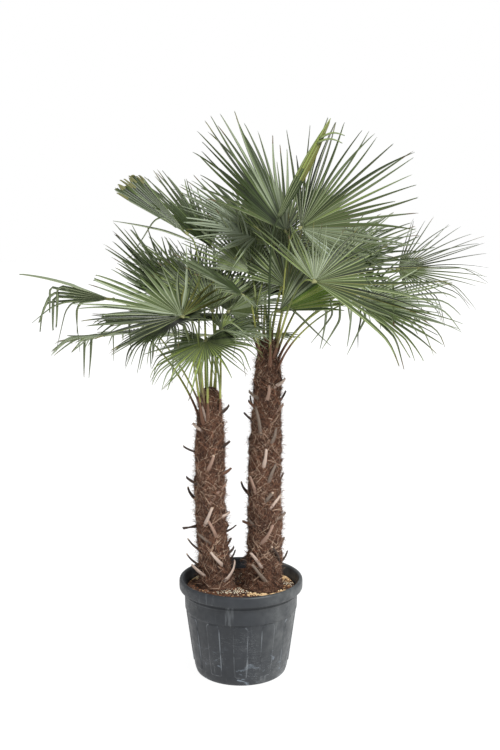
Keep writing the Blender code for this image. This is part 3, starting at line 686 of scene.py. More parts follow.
def segment_looks(heap, fan, k):
    """Surfaces round a segment and round its tip, and whether it is a flat broad one."""
    names = fan.palette.split()
    spot = (k + 0.5 + 1.5 * noise(fan.index, k, 10)) / fan.count
    name = names[max(0, min(int(spot * len(names)), len(names) - 1))]
    rows = PALETTES[name]
    pick = rows[int((0.5 + 0.4999 * noise(fan.index, k, 11)) * len(rows))]
    upper, painted_shade, under, rib = (heap.kind(finish) for finish in palette_finishes(pick))
    # Painted light and shade: one half of each fold takes the lit colour (upper), the other the painted
    # shaded colour; which half is lit goes by the frond's index.
    sides = (upper, painted_shade) if fan.index % 2 else (painted_shade, upper)
    body = [sides[0], rib, rib, sides[1], sides[1], under, rib, rib, under, under]
    if fan.joined > PADDLE_ABOVE:
        return body, [heap.kind("tip_olive")] * 10, False
    dry = noise(fan.index, k, 12)
    if dry > 0.45:
        tip = heap.kind("tip_dry" if dry > 0.75 else "tip_olive")
        return body, [tip] * 10, name == "silver"
    return body, body, name == "silver"


def middle_line(fan, k, angle, split):
    """Centre line of a segment, which may hang or be broken."""
    slack = fan.slack(angle)
    if slack > 0.15 and noise(fan.index, k, 14) > (BROKEN_ABOVE_FOLDED if fan.folded else BROKEN_ABOVE):
        bend = max(split + 0.05, 0.52 + 0.14 * noise(fan.index, k, 15))
        return fan.line(angle, fan.sag, 1.0, bend, 0.8, 0.08)
    hang = slack * (0.5 + 0.5 * noise(fan.index, fan.finger_of(k), 3)) + 0.06 * noise(fan.index, k, 4)
    drop = min(1.0, hang * 2.0) if hang > 0.12 else 0.0
    return fan.line(angle, fan.sag, drop, BEND_AT - 0.08 + 0.10 * noise(fan.index, k, 13))


def joined_part(fan, plus_angle, minus_angle, middle, split, reach):
    """Rings from the hub to the split, and the last centre, half width, fold depth and tilt."""
    plus_line = fan.line(plus_angle, fan.sag, 0.0)
    minus_line = fan.line(minus_angle, fan.sag, 0.0)
    first = 0.6 * HUB_R / reach
    rings = []
    for share in JOINED_SHARES:
        s = first + (split - first) * share
        width = s * reach * (minus_angle - plus_angle) / 2.0
        depth = width * FOLD_DEPTH * 0.5
        mid = along_line(middle, s) - fan.face * depth
        plus = along_line(plus_line, s) + fan.face * depth
        minus = along_line(minus_line, s) + fan.face * depth
        rings.append(cross_ring(mid, plus, minus, fan.face, BLADE_HALF_T, KEEL * share))
    half = ((plus - mid).length + (minus - mid).length) / 2.0
    return rings, (mid, half, depth, math.atan(2.0 * depth / width))


def free_part(fan, k, angle, middle, split, reach, joint, broad):
    """Rings of the free strip from the split to its tip, with its own swing, lift and twist."""
    before, half, depth, rise = joint
    loose = min(1.0, (1.0 - fan.joined) / 0.6)
    if fan.folded and loose > 0.5:
        half *= FOLDED_WIDER
    length = 0.97 + 0.04 * noise(fan.index, fan.finger_of(k)) + 0.03 * noise(fan.index, k, 8)
    if noise(fan.index, k, 16) > TORN_ABOVE:
        length -= TORN_SHORTER * loose
    fold = math.radians((FLAT_FOLD_DEG if broad else FREE_FOLD_DEG) + 13.0 * noise(fan.index, k, 17))
    narrow, fall = BROAD_TAPER if broad or fan.folded else SLIM_TAPER
    tangent = fan.side * math.cos(angle) - fan.axis * math.sin(angle)
    clump = CLUMP * fan.period * math.sin(math.tau * (k + fan.phase) / fan.period)
    swing = reach * (clump + SWING * noise(fan.index, k, 5)) * loose
    lift = LIFT * reach * noise(fan.index, k, 7) * loose
    twist = math.radians(TWIST_DEG) * noise(fan.index, k, 9) * loose
    low = fan.face * depth
    face = fan.face
    rings = []
    for t in FREE_SHARES:
        s = split + (length - split) * t
        centre = along_line(middle, s) - low * (1.0 - t) + (tangent * swing + fan.face * lift) * t * t
        along = (centre - before).normalized()
        face = (face - along * face.dot(along)).normalized()
        across = face.cross(along)
        turn = Matrix.Rotation(twist * t, 3, along)
        width = half * (1.0 - narrow * t ** fall)
        tilt = rise + (fold - rise) * min(1.0, t * 5.0)
        reach_out = across * (width * math.cos(tilt))
        raised = face * (width * math.sin(tilt))
        mid = centre
        plus, minus = centre + turn @ (raised + reach_out), centre + turn @ (raised - reach_out)
        if t == 1.0:
            mid = before.lerp(centre, 0.55)
            plus, minus = centre + turn @ (reach_out * 1.3), centre - turn @ (reach_out * 1.3)
        thick = BLADE_HALF_T * (1.0 - 0.6 * t)
        rings.append(cross_ring(mid, plus, minus, turn @ face, thick, KEEL * (1.0 - t)))
        before = centre
    return rings


def add_segment(heap, fan, k):
    """One folded segment, joined to its neighbours as far as the split."""
    body, tip, broad = segment_looks(heap, fan, k)
    plus_angle, minus_angle = fan.margin_angle(k), fan.margin_angle(k + 1)
    angle = (plus_angle + minus_angle) / 2.0
    reach = fan.reach(angle)
    split = fan.joined * (1.0 + 0.16 * noise(fan.index, k, 6))
    middle = middle_line(fan, k, angle, split)
    rings, joint = joined_part(fan, plus_angle, minus_angle, middle, split, reach)
    rings += free_part(fan, k, angle, middle, split, reach, joint, broad)
    tip_rings = 10 if fan.joined > PADDLE_ABOVE else 3
    heap.skin(rings, body, tip, len(rings) - tip_rings)


def tree_of(thing):
    """Search tree of a finished body."""
    return BVHTree.FromPolygons([v.co.copy() for v in thing.data.vertices],
                                [tuple(p.vertices) for p in thing.data.polygons])


def stalk_path(fan, trunk_tree):
    """Centre line of a stalk from its seat on the trunk to the hub."""
    azimuth = math.radians(fan.seat_azimuth)
    out = Vector((math.cos(azimuth), math.sin(azimuth), 0.0))
    z = SEAT_TOP[fan.palm] - fan.seat_drop
    centre, _ = trunk_at(fan.palm, z)
    spot, normal, _, _ = trunk_tree.ray_cast(centre + out * 0.2, -out)
    leave = spot + normal * 0.012 + UP * 0.002
    rear = fan.hub - fan.axis * HUB_R * 1.6
    span = (rear - leave).length
    run = Vector((rear.x - leave.x, rear.y - leave.y, 0.0)).length / span
    first = leave + (out * (0.12 + 0.42 * run) + UP).normalized() * span * 0.38
    last = rear - fan.axis * span * 0.13
    path = [spot - out * 0.014 - UP * 0.060, spot - UP * 0.022, leave]
    for i in range(1, STALK_STEPS + 1):
        t = i / STALK_STEPS
        u = 1.0 - t
        path.append(leave * u ** 3 + first * 3 * u * u * t + last * 3 * u * t * t + rear * t ** 3)
    return path, out


def stalk_ring(spot, across, over, half_w, half_t):
    """Eight points round a stalk with a shallow channel above."""
    return [spot + across * (half_w * u) + over * (half_t * v) for u, v in STALK_OUTLINE]


def add_stalk(heap, fan, trunk_tree):
    """Stalk with toothed edges, and the rib that it runs on as under the blade."""
    path, out = stalk_path(fan, trunk_tree)
    last = len(path) - 1
    under = -fan.face * 0.004
    path += [fan.hub + under, fan.hub + fan.axis * 0.022 + under * 1.4, fan.hub + fan.axis * 0.055 + under]
    sizes = [1.0] * (last + 1) + [0.95, 0.6, 0.12]
    level = Vector((out.y, -out.x, 0.0))
    rings = []
    frames = []
    for i, point in enumerate(path):
        along = direction(path, i)
        share = min(1.0, max(0.0, (i - 2) / (last - 2)))
        across = level.lerp(fan.side, max(0.0, share - 0.25) / 0.75)
        across = (across - along * across.dot(along)).normalized()
        over = across.cross(along).normalized()
        flare = 0.007 * max(0.0, 1.0 - i / 4.0)
        half_w = (STALK_HALF_W + 0.0022 * (1.0 - share) ** 2 + flare) * sizes[i]
        half_t = (STALK_HALF_T + 0.0016 * (1.0 - share) ** 2) * sizes[i] * (1.0 - 0.15 * share)
        rings.append(stalk_ring(point, across, over, half_w, half_t)[::-1])
        frames.append((point, across, over, half_w, along))
    base = len(heap.faces)
    names = ("stalk_tan", "stalk_lime", "stalk_green", "fibre_brown")
    tones = [heap.kind(name) for name in names]
    heap.skin(rings, [tones[1]])
    colour_stalk(heap, fan, base, [point.z for point in path], tones)
    for i in range(4, last - 1):
        add_teeth(heap, frames[i], frames[i + 1][0], tones[1])


def colour_stalk(heap, fan, base, heights, tones):
    """Fibre and tan at the foot, yellow-green above, green towards the blade."""
    tan, lime, green, wrapped = tones
    low, high = 4 + 2 * noise(fan.index, 21), 11 + 5 * noise(fan.index, 22)
    for i in range(len(heights) - 1):
        for j in range(8):
            at = i + 1.5 * noise(i, j, fan.index)
            pick = tan if at < low else lime if at < high else green
            if heights[i] < SEAT_TOP[fan.palm] - 0.03 + 0.015 * noise(j, fan.index, 8):
                pick = wrapped
            heap.kinds[base + i * 8 + j] = pick


def add_teeth(heap, frame_here, ahead, kind):
    """Small teeth on both edges of a stretch of stalk."""
    point, across, over, half_w, along = frame_here
    for side in (-1.0, 1.0):
        for part in (0.15, 0.65):
            foot = point.lerp(ahead, part) + across * (side * half_w * 0.97)
            tip = foot + across * (side * 0.0018) + along * 0.0016
            spots = [foot - across * (side * 0.0015), foot, tip]
            tube(heap, spots, TOOTH_RADII, [kind], 3, 1.0, over)


def add_hastula(heap, fan):
    """Small pale collar where the stalk meets the blade."""
    rings = []
    for out, up in ((0.010, -0.001), (0.0105, 0.0015), (0.008, 0.0032), (0.005, 0.0042), (0.0015, 0.0045)):
        ring = []
        for j in range(14):
            a = math.tau * j / 14
            r = out * (1.0 + 0.22 * math.cos(3.0 * a) * (0.4 if out < 0.01 else 1.0))
            start = fan.hub - fan.axis * 0.002
            ring.append(start + fan.axis * (r * math.cos(a)) - fan.side * (r * math.sin(a)) + fan.face * up)
        rings.append(ring)
    heap.skin(rings, [heap.kind("hastula")])


def build_fronds(trunk_trees):
    """Blade and stalk of every frond."""
    numbers = {"left": 0, "right": 0}
    for index, row in enumerate(FRONDS):
        fan = Fan(index, row)
        numbers[fan.palm] += 1
        node = f"frond_{fan.palm}_{numbers[fan.palm]:02d}"
        blade = Heap()
        for k in range(fan.count):
            add_segment(blade, fan, k)
        claim(blade.piece(node + "_blade"), "leaf", node)
        stalk = Heap()
        add_stalk(stalk, fan, trunk_trees[fan.palm])
        add_hastula(stalk, fan)
        claim(stalk.piece(node + "_stalk"), "leaf", node)


def picture_spot(point, depth):
    """World place of a picture point at a depth."""
    eye = Vector(CAMERA_SPOT)
    aim = sight(*point)
    return eye + aim * ((depth - eye.y) / aim.y)


def build_loose_strips():
    """Strips that hang or lie apart from their fan."""
    for k, (name, depth, points, half, colours) in enumerate(LOOSE_STRIPS):
        heap = Heap()
        lit, shaded = (heap.kind("leaf_" + colour) for colour in colours.split())
        rib = heap.kind("rib_pale")
        marks = [picture_spot(point, depth - 0.01 * i) for i, point in enumerate(points)]
        spots = []
        for i in range(19):
            where = min(i / 18.0, 0.9999) * (len(marks) - 1)
            a = int(where)
            spots.append(marks[a].lerp(marks[a + 1], where - a))
        for _ in range(2):
            inner = [(a + b * 2.0 + c) / 4.0 for a, b, c in zip(spots, spots[1:], spots[2:])]
            spots = [spots[0]] + inner + [spots[-1]]
        face = Vector((0.5 * noise(k, 61), -1.0, 0.5 + 0.4 * noise(k, 62))).normalized()
        widths = [half * min(1.0, 0.35 + i / 5.0) * (1.0 - 0.85 * (i / 18.0) ** 2) for i in range(19)]
        # Painted light and shade: one half of the fold takes the lit colour, the other half and the underside
        # the shaded colour.
        add_strip(heap, spots, face, widths, math.radians(40.0), [lit, rib, rib, shaded] + [shaded] * 6)
        claim(heap.piece(f"frond_{name}_strip_{k:02d}"), "leaf", f"frond_{name}")


def spear_line(share):
    """Point along the folded young leaf."""
    where = min(share, 0.9999) * (len(SPEAR) - 1)
    i = int(where)
    return Vector(SPEAR[i]).lerp(Vector(SPEAR[i + 1]), where - i)


def add_strip(heap, spots, face, widths, tilt, kinds, late=None, late_from=10 ** 6):
    """A free folded strip."""
    rings = []
    for i, spot in enumerate(spots):
        along = direction(spots, i)
        up = (face - along * face.dot(along)).normalized()
        across = up.cross(along)
        out = across * (widths[i] * math.cos(tilt))
        raised = up * (widths[i] * math.sin(tilt))
        rings.append(cross_ring(spot, spot + raised + out, spot + raised - out, up, 0.0007, 0.001))
    heap.skin(rings, kinds, late, late_from)


def build_spear():
    """The young leaf that has only begun to open."""
    heap = Heap()
    stalk = [spear_line(0.55 * i / 12) for i in range(13)]
    tube(heap, stalk, [0.0062 - 0.0001 * i for i in range(13)], [heap.kind("leaf_dark")], 8, 0.8)
    names = ("leaf_lime", "leaf_olive", "leaf_fresh", "leaf_vivid", "leaf_green", "leaf_dark", "rib_pale")
    lime, olive, fresh, vivid, green, dark, pale = (heap.kind(name) for name in names)
    sideways = Vector((0.87, 0.0, -0.49))
    for k in range(11):
        off = (k - 5) / 5.0
        end = 1.0 - 0.10 * abs(off) - 0.05 * (0.5 + 0.5 * noise(k, 41))
        spots = []
        widths = []
        for i in range(15):
            t = i / 14.0
            share = 0.47 + (end - 0.47) * t
            spread = min(1.0, 0.3 + t / 0.5) * min(1.0, (1.0 - t) / 0.40) ** 0.6
            spot = spear_line(share) + sideways * (off * 0.0175 * spread)
            back = -0.004 * (1.0 - off * off) * spread + 0.005 * noise(k, 42)
            spots.append(spot + Vector((0.0, back, 0.0)))
            widths.append(0.0022 + 0.0060 * spread)
        face = (Vector((0.25, -1.0, 0.1)) + sideways * (0.9 * noise(k, 43))).normalized()
        upper = (lime, fresh, vivid, lime)[k % 4]
        # Painted shade: below the tip, each strip's minus half and underside take leaf_dark, its plus half
        # the lit colour.
        low = [green, pale, pale, dark, dark] + [dark] * 5
        high = [upper, pale, pale, olive, olive] + [olive] * 5
        add_strip(heap, spots, face, widths, math.radians(50.0), low, high, 6 + int(1.9 * noise(k, 44)))
    for start, rise in ((0.815, 0.014), (0.795, 0.000)):
        spots = []
        for i in range(9):
            t = i / 8.0
            up = rise * t + 0.016 * math.sin(math.pi * t)
            spots.append(spear_line(start) + Vector((0.108 * t, -0.012, up)))
        face = Vector((0.2, -0.8, 0.6)).normalized()
        widths = [0.0075 * (1.0 - 0.75 * (i / 8.0) ** 2) for i in range(9)]
        # Painted shade: the minus half and underside of these strips are dark too.
        add_strip(heap, spots, face, widths, 0.7, [fresh, pale, pale, dark] + [dark] * 6)
    claim(heap.piece("spear_right_leaf"), "leaf", "spear_right")


# Trunks

def trunk_at(side, z):
    """Centre and radius of a trunk at a height."""
    line = TRUNK_LINE[side]
    for (z0, x0, r0), (z1, x1, r1) in zip(line, line[1:]):
        if z <= z1:
            t = (z - z0) / (z1 - z0)
            return Vector((x0 + (x1 - x0) * t, TRUNK_Y[side], z)), r0 + (r1 - r0) * t
    z1, x1, r1 = line[-1]
    return Vector((x1, TRUNK_Y[side], z)), r1


def relief(side, angle, z):
    """How far the matted sheaths stand off the plain shaft."""
    shift = 3.1 if side == "left" else 17.7
    spot = Vector((math.cos(angle) * 1.3, math.sin(angle) * 1.3, z * 11.0 + shift))
    lump = 0.0080 * cloud.noise(spot)
    fine = 0.0030 * cloud.noise(spot * 4.3)
    phase = z / 0.068 + angle * 2.0 / math.tau + 0.9 * cloud.noise(spot * 1.4)
    ledge = 0.0085 * (phase - math.floor(phase)) ** 1.6
    calm = min(1.0, max(0.0, (z - 0.39) / 0.03))
    return (lump + fine + ledge - 0.0035) * calm


def shaft_point(side, angle, z, lift=0.0):
    """A point on or above the matted surface."""
    centre, radius = trunk_at(side, z)
    r = radius + relief(side, angle, z) + lift
    return centre + Vector((math.cos(angle) * r, math.sin(angle) * r, 0.0))


def turned(profile, steps):
    """Work mesh of a line of points turned round the upright axis."""
    work = bmesh.new()
    line = [work.verts.new(point) for point in profile]
    edges = [work.edges.new(pair) for pair in zip(line, line[1:])]
    bmesh.ops.spin(work, geom=line + edges, cent=(0, 0, 0), axis=(0, 0, 1), angle=math.tau,
                   steps=steps, use_merge=True, use_duplicate=False)
    bmesh.ops.remove_doubles(work, verts=work.verts, dist=1e-5)
    return work


def closed_piece(work, name, finish):
    """Close a work mesh and put it in the scene."""
    ends = [e for e in work.edges if e.is_boundary]
    bmesh.ops.holes_fill(work, edges=ends, sides=0)
    bmesh.ops.recalc_face_normals(work, faces=work.faces)
    mesh = bpy.data.meshes.new(name)
    work.to_mesh(mesh)
    work.free()
    mesh.materials.append(FINISH[finish])
    mesh.shade_smooth()
    return shown(name, mesh)


def build_shaft(side):
    """The felt-covered shaft, turned from a line and then pushed into relief."""
    low, high = TRUNK_LINE[side][0][0], TRUNK_LINE[side][-1][0]
    rows = round((high - low) / TRUNK_ROW)
    work = turned([(1.0, 0.0, low + (high - low) * i / rows) for i in range(rows + 1)], TRUNK_COLUMNS)
    for vert in work.verts:
        angle = math.atan2(vert.co.y, vert.co.x)
        vert.co = shaft_point(side, angle, vert.co.z)
    shaft = closed_piece(work, f"trunk_{side}_shaft", "trunk_felt")
    claim(shaft, "trunk", f"trunk_{side}")
    return shaft


def add_mat_strand(heap, side, rng, length, radius, flat, kinds):
    """A strand that lies across the shaft on a slant, its ends a little raised."""
    low, high = TRUNK_LINE[side][0][0] + 0.01, TRUNK_LINE[side][-1][0] - 0.02
    angle = rng.uniform(0.0, math.tau)
    z = rng.uniform(low, high)
    slant = math.radians(rng.uniform(18.0, 78.0)) * rng.choice((1.0, 1.0, -1.0))
    bend = rng.uniform(-0.7, 0.7)
    count = 6
    step = length / (count - 1)
    spots = []
    way = rng.choice((-1.0, 1.0))
    for i in range(count):
        share = i / (count - 1)
        _, r = trunk_at(side, min(z, high))
        raised = 0.0010 + 0.009 * abs(2.0 * share - 1.0) ** 3 * rng.random()
        spots.append(shaft_point(side, angle, min(max(z, low), high + 0.015), raised))
        angle += way * step * math.cos(slant) / r
        z += step * math.sin(slant)
        slant += bend * step / length
    over = (spots[count // 2] - trunk_at(side, spots[count // 2].z)[0]).normalized()
    swell = [math.sin(math.pi * (0.12 + 0.76 * i / (count - 1))) for i in range(count)]
    radii = [radius * (0.35 + 0.65 * wide) for wide in swell]
    tube(heap, spots, radii, [rng.choice(kinds)], 4 if flat < 1.0 else 3, flat, over)


def add_loose_hair(heap, side, rng, kinds, low, high, most):
    """A hair that stands out of the mat and curls."""
    angle = rng.uniform(0.0, math.tau)
    z = low + (high - low) * rng.random()
    spot = shaft_point(side, angle, z, -0.002)
    out = Vector((math.cos(angle), math.sin(angle), 0.0))
    across = Vector((-out.y, out.x, 0.0))
    aim = out * rng.uniform(0.3, 1.0) + UP * rng.uniform(-0.3, 1.1) + across * rng.uniform(-0.8, 0.8)
    aim.normalize()
    curl = Vector((rng.uniform(-1, 1), rng.uniform(-1, 1), rng.uniform(-1, 0.6)))
    length = rng.uniform(0.3, 1.0) ** 1.5 * most
    spots = [spot]
    for _ in range(4):
        spots.append(spots[-1] + aim * (length / 4.0))
        aim = (aim + curl * 0.28).normalized()
    radius = rng.uniform(0.00035, 0.0007)
    tube(heap, spots, [radius, radius, radius * 0.9, radius * 0.7, radius * 0.3], [rng.choice(kinds)])


def build_fibre(side):
    """Matted strands and loose hair of one trunk."""
    rng = random.Random(71 if side == "left" else 92)
    share = 1.0 if side == "left" else 1.25
    low, high = TRUNK_LINE[side][0][0], TRUNK_LINE[side][-1][0]
    mat = Heap()
    browns = [mat.kind(f"fibre_{n}") for n in ("dark", "dark", "brown", "brown", "rust", "tan")]
    for _ in range(int(WIDE_STRANDS * share)):
        length, radius = rng.uniform(0.035, 0.105), rng.uniform(0.0008, 0.0022)
        add_mat_strand(mat, side, rng, length, radius, 0.35, browns)
    browns = [mat.kind(f"fibre_{n}") for n in ("dark", "brown", "rust", "tan")]
    for _ in range(int(THIN_STRANDS * share)):
        length, radius = rng.uniform(0.02, 0.08), rng.uniform(0.0004, 0.0008)
        add_mat_strand(mat, side, rng, length, radius, 1.0, browns)
    claim(mat.piece(f"trunk_{side}_mat"), "trunk", f"trunk_{side}")
    hair = Heap()
    browns = [hair.kind(f"fibre_{n}") for n in ("dark", "brown", "brown", "rust", "tan")]
    for _ in range(int(LOOSE_HAIRS * share)):
        add_loose_hair(hair, side, rng, browns, low + 0.01, high - 0.02, 0.042)
    claim(hair.piece(f"trunk_{side}_hair"), "trunk", f"trunk_{side}")


def seen_on(side, tree, point):
    """Where a picture point falls on a shaft, or beside it in the shaft's own plane."""
    eye = Vector(CAMERA_SPOT)
    aim = sight(*point)
    spot, _, _, _ = tree.ray_cast(eye, aim)
    if spot is None:
        spot = eye + aim * ((TRUNK_Y[side] - eye.y) / aim.y)
    return spot


def add_stub(heap, side, foot, end, seed):
    """A cut leaf base, broad in the fibre and narrow at its cut."""
    centre, _ = trunk_at(side, foot.z)
    out = foot - centre
    out.z = 0.0
    out.normalize()
    span = end - foot
    length = span.length
    bow = out * (length * 0.15) + out.cross(UP) * (length * 0.16 * noise(seed, 5))
    start = foot - out * 0.008 - span.normalized() * 0.012
    spots = []
    for i in range(8):
        t = i / 7.0
        spots.append(start.lerp(end, t) + bow * math.sin(math.pi * t * 0.85))
    rings = []
    for i, spot in enumerate(spots):
        along = direction(spots, i)
        across = out.cross(along).normalized()
        over = along.cross(across)
        t = i / 7.0
        half_w = 0.0045 * (1.0 - t) ** 1.5 + 0.0064 + 0.0007 * noise(seed, i, 2)
        half_t = 0.0018 * (1.0 - t) + 0.0032 + 0.0003 * noise(seed, i, 3)
        ring = []
        for j in range(8):
            a = math.tau * (j + 0.5) / 8
            slope = along * (0.004 * math.cos(a + seed) if i == 7 else 0.0)
            ring.append(spot + across * (math.cos(a) * half_w) + over * (math.sin(a) * half_t) + slope)
        rings.append(ring)
    names = ("stub_face", "stub_pink", "stub_face", "stub_grey")
    # Painted shade: stubs on the trunk's left and right flanks take darker colours.
    if abs(out.x) > 0.8:
        names = ("stub_brown", "stub_painted_shade", "stub_grey", "stub_painted_shade")
    upper = heap.kind(names[int(abs(noise(seed, 8)) * 3.999)])
    # Painted shade: the half of each stub that faces the trunk is dark.
    under = heap.kind("stub_painted_shade")
    heap.skin(rings, [upper, upper, upper, upper, under, under, under, under])
    heap.kinds[-1] = heap.kind("stub_cut")


def build_stubs(side, shaft_tree):
    """Cut leaf bases: those the picture shows, and more round the back."""
    heap = Heap()
    first_seed = 1 if side == "left" else 1 + len(FRONT_STUBS["left"])
    for seed, marks in enumerate(FRONT_STUBS[side], first_seed):
        root = seen_on(side, shaft_tree, marks[:2])
        tip = seen_on(side, shaft_tree, marks[2:])
        centre, radius = trunk_at(side, tip.z)
        out = Vector((tip.x - centre.x, tip.y - centre.y, 0.0))
        if out.length < radius + 0.012:
            tip = tip + out.normalized() * (0.006 + 0.006 * abs(noise(seed, 4)))
        add_stub(heap, side, root, tip, seed)
    low, high = 0.47, TRUNK_LINE[side][-1][0] - 0.20
    count = REAR_STUBS[side]
    for i in range(count):
        z = low + (high - low) * (i + 0.5 + 0.3 * noise(i, 31)) / count
        angle = math.radians(12.0 + (GOLDEN_DEG * 1.3 * i) % 156.0)
        lean = math.radians(26.0 * noise(i, 32))
        foot = shaft_point(side, angle, z)
        out = Vector((math.cos(angle), math.sin(angle), 0.0))
        across = Vector((-out.y, out.x, 0.0))
        aim = (UP * 0.85 + out * 0.45 + across * math.sin(lean)).normalized()
        add_stub(heap, side, foot, foot + aim * (0.055 + 0.02 * noise(i, 33)), 100 + i)
    claim(heap.piece(f"trunk_{side}_stubs"), "trunk", f"trunk_{side}")


# Pot

def body_radius(z):
    """Outer radius of the plain pot body."""
    return 0.212 + (0.2475 - 0.212) * (z - 0.03) / (0.290 - 0.03)


def pot_rows():
    """Closed profile of the pot wall, from the middle of its underside and back to it inside."""
    rows = list(POT_FOOT)
    rows += [(body_radius(z), z) for z in POT_BODY_Z]
    return rows + list(POT_RIM) + list(POT_INSIDE)


def panel_share(angle, z):
    """How fully a point lies on a raised panel with round corners."""
    step = math.tau / PANEL_COUNT
    off = abs((angle + step / 2) % step - step / 2) * 0.235
    half = math.radians(PANEL_HALF_DEG) * 0.235
    middle = (PANEL_LOW_Z + PANEL_TOP_Z) / 2
    tall = (PANEL_TOP_Z - PANEL_LOW_Z) / 2
    dx = off - (half - PANEL_CORNER)
    dz = abs(z - middle) - (tall - PANEL_CORNER)
    away = math.hypot(max(dx, 0.0), max(dz, 0.0)) + min(max(dx, dz), 0.0) - PANEL_CORNER
    t = min(1.0, max(0.0, -away / 0.0042))
    return t * t * (3.0 - 2.0 * t)


def build_pot():
    """Tub turned from its profile, with raised panels pushed out and two lifting lugs."""
    work = turned([(r, 0.0, z) for r, z in pot_rows()], POT_STEPS)
    # Marks the panel edges, where the pale lines go.
    panel_edge = work.verts.layers.float.new("panel_edge")
    for vert in work.verts:
        r = math.hypot(vert.co.x, vert.co.y)
        if PANEL_LOW_Z - 0.002 < vert.co.z < PANEL_TOP_Z + 0.002 and r > body_radius(vert.co.z) - 0.002:
            share = panel_share(math.atan2(vert.co.y, vert.co.x), vert.co.z)
            push = PANEL_LIFT * share
            vert[panel_edge] = 1.0 if 0.02 < share < 0.98 else 0.0
            vert.co.x *= 1.0 + push / r
            vert.co.y *= 1.0 + push / r
    tub = closed_piece(work, "pot_tub", "pot_plastic")
    tub.data.set_sharp_from_angle(angle=math.radians(50.0))
    claim(tub, "pot", "pot")
    build_lugs()


def build_lugs():
    """Lifting lugs under the lip at the pot's two sides."""
    work = bmesh.new()
    for turn in (0.0, math.pi):
        made = bmesh.ops.create_cube(work, size=1.0)["verts"]
        bmesh.ops.scale(work, vec=(0.020, 0.034, 0.026), verts=made)
        bmesh.ops.translate(work, vec=(0.2615, 0.0, 0.3735), verts=made)
        for vert in made:
            if vert.co.z < 0.373 and vert.co.x > 0.2615:
                vert.co.x -= 0.006
        bmesh.ops.rotate(work, cent=(0, 0, 0), matrix=Matrix.Rotation(turn, 3, "Z"), verts=made)
    bmesh.ops.bevel(work, geom=work.edges[:], offset=0.003, offset_type="OFFSET", affect="EDGES",
                    segments=3, profile=0.5, material=-1)
    claim(closed_piece(work, "pot_lugs", "pot_plastic"), "pot", "pot")


# Soil

def soil_height(x, y):
    """Uneven top of the soil, low at the wall and heaped at the trunks."""
    r = math.hypot(x, y)
    edge = min(1.0, max(0.0, (SOIL_R - r) / 0.02))
    lumps = 0.0050 * cloud.noise(Vector((x * 28, y * 28, 1.0)))
    lumps += 0.0022 * cloud.noise(Vector((x * 90, y * 90, 4.0)))
    return SOIL_Z - 0.001 + (lumps + 0.0015) * edge


def build_soil():
    """Soil plug with a lumpy top."""
    profile = [(0.0008, 0.0068), (0.1985, 0.0068), (0.2385, 0.286), (0.2440, 0.300), (SOIL_R, SOIL_Z - 0.002)]
    profile += [(SOIL_R * (1.0 - i / SOIL_RINGS), SOIL_Z) for i in range(1, SOIL_RINGS)] + [(0.0008, SOIL_Z)]
    work = turned([(r, 0.0, z) for r, z in profile], SOIL_STEPS)
    for vert in work.verts:
        if vert.co.z > SOIL_Z - 0.001:
            vert.co.z = soil_height(vert.co.x, vert.co.y)
    claim(closed_piece(work, "soil_plug", "soil_bark"), "soil", "soil")


def clear_of_trunks(x, y, room):
    """Whether a spot on the soil is outside both trunk feet."""
    for side in ("left", "right"):
        _, cx, r = TRUNK_LINE[side][0]
        if math.hypot(x - cx, y - TRUNK_Y[side]) < r + room:
            return False
    return True


def add_crumb(heap, rng, x, y, size, kind, flat=0.6, lift=0.0):
    """One rough crumb or chip that sits in the soil."""
    z = soil_height(x, y) + size * flat * 0.25 + lift
    turn = Matrix.Rotation(rng.uniform(0.0, math.tau), 3, "Z")
    tip = Matrix.Rotation(rng.uniform(-0.5, 0.5), 3, "X")
    rings = []
    for height, wide in ((-0.5, 0.55), (-0.1, 1.0), (0.35, 0.85), (0.5, 0.4)):
        ring = []
        for j in range(6):
            a = math.tau * j / 6
            r = size * wide * rng.uniform(0.7, 1.1)
            p = Vector((math.cos(a) * r, math.sin(a) * r * 0.75, height * size * flat))
            ring.append(turn @ tip @ p + Vector((x, y, z)))
        rings.append(ring)
    heap.skin(rings, [kind])


def build_chips(rng):
    """Bark chips all over the soil."""
    chips = Heap()
    browns = [chips.kind(f"chip_{n}") for n in ("dark", "rust", "dark", "tan", "rust")]
    placed = 0
    while placed < CHIP_COUNT:
        angle, r = rng.uniform(0.0, math.tau), CRUMB_ROOM * math.sqrt(rng.random())
        x, y = r * math.cos(angle), r * math.sin(angle)
        if clear_of_trunks(x, y, 0.0):
            size, kind, flat = rng.uniform(0.003, 0.009), rng.choice(browns), rng.uniform(0.4, 0.8)
            add_crumb(chips, rng, x, y, size, kind, flat)
            placed += 1
    claim(chips.piece("soil_chips", False), "soil", "soil")


def build_perlite(rng):
    """Light pellets in loose groups."""
    beads = Heap()
    white = beads.kind("perlite")
    for cx, cy, spread, count in PERLITE_GROUPS:
        for _ in range(count):
            x, y = rng.gauss(cx, spread), rng.gauss(cy, spread * 0.45)
            if clear_of_trunks(x, y, 0.002) and math.hypot(x, y) < CRUMB_ROOM:
                add_crumb(beads, rng, x, y, rng.uniform(0.0018, 0.0040), white, 0.9, 0.0015)
    claim(beads.piece("soil_perlite", False), "soil", "soil")


def build_sand(rng):
    """Sandy patches near the front and at the sides."""
    sand = Heap()
    beige = sand.kind("sand")
    for cx, cy, wide, deep, count in SAND_PATCHES:
        for _ in range(count):
            x, y = cx + wide * rng.uniform(-1, 1), cy + deep * rng.gauss(0.0, 1.0)
            if clear_of_trunks(x, y, 0.002) and math.hypot(x, y) < CRUMB_ROOM:
                add_crumb(sand, rng, x, y, rng.uniform(0.0024, 0.0060), beige, 0.35, 0.0015)
    claim(sand.piece("soil_sand", False), "soil", "soil")


# Stage, light and camera

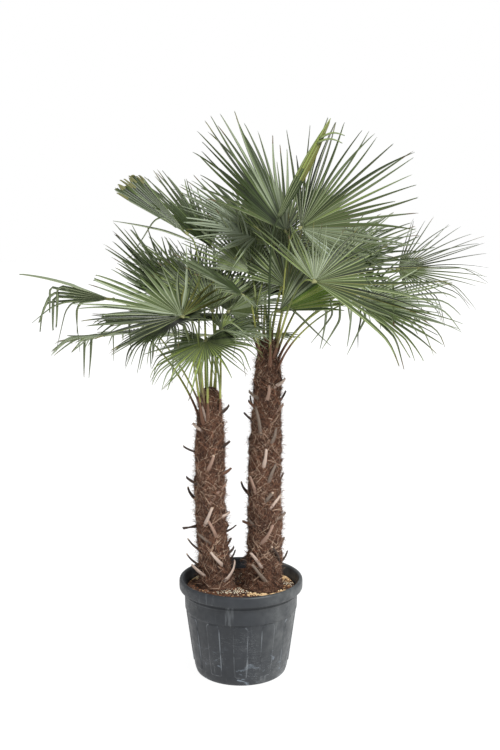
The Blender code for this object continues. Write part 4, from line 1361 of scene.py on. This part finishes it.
def build_floor():
    """Plain pale floor."""
    work = bmesh.new()
    bmesh.ops.create_grid(work, x_segments=1, y_segments=1, size=60.0)
    mesh = bpy.data.meshes.new("floor")
    work.to_mesh(mesh)
    work.free()
    mat, shader = finish_of("floor_white", (90, 90, 90), 0.9)
    shader.inputs["Emission Color"].default_value = WHITE
    shader.inputs["Emission Strength"].default_value = FLOOR_GLOW
    mesh.materials.append(mat)
    floor = shown("floor", mesh)
    floor.location.z = -0.0015


def build_surround():
    """White to the camera, and a softer light to the object."""
    world = bpy.data.worlds.new("surround")
    world.use_nodes = True
    nodes, links = world.node_tree.nodes, world.node_tree.links
    ambient = nodes["Background"]
    ambient.inputs["Color"].default_value = WHITE
    ambient.inputs["Strength"].default_value = AMBIENT
    seen = nodes.new("ShaderNodeBackground")
    seen.inputs["Color"].default_value = WHITE
    either = nodes.new("ShaderNodeMixShader")
    links.new(nodes.new("ShaderNodeLightPath").outputs["Is Camera Ray"], either.inputs["Fac"])
    links.new(ambient.outputs["Background"], either.inputs[1])
    links.new(seen.outputs["Background"], either.inputs[2])
    links.new(either.outputs["Shader"], nodes["World Output"].inputs["Surface"])
    bpy.context.scene.world = world


def build_key():
    """Wide soft light from the upper right."""
    lamp = bpy.data.lights.new("key", "SUN")
    lamp.energy = KEY_POWER
    lamp.angle = math.radians(KEY_SPREAD)
    key = bpy.data.objects.new("key", lamp)
    key.rotation_euler = Vector(KEY_FROM).to_track_quat("Z", "Y").to_euler()
    bpy.context.scene.collection.objects.link(key)


def build_camera():
    """Portrait camera at the picture's angle."""
    lens = bpy.data.cameras.new("camera")
    lens.sensor_width = 36.0
    lens.lens = CAMERA_FOCAL * 36.0 / PICTURE[1]
    camera = bpy.data.objects.new("camera", lens)
    camera.location = CAMERA_SPOT
    camera.rotation_euler = (math.radians(CAMERA_TILT), 0.0, 0.0)
    bpy.context.scene.collection.objects.link(camera)
    bpy.context.scene.camera = camera


build_camera()
build_floor()
build_surround()
build_key()
bpy.context.scene.view_settings.view_transform = "Standard"
trunk_trees = {side: tree_of(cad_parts["trunk_" + side]) for side in ("left", "right")}
build_fronds(trunk_trees)
build_loose_strips()
build_spear()
for side in ("left", "right"):
    shaft = build_shaft(side)
    build_stubs(side, tree_of(shaft))
    build_fibre(side)
build_pot()
build_soil()
soil_rng = random.Random(5)
build_chips(soil_rng)
build_perlite(soil_rng)
build_sand(soil_rng)
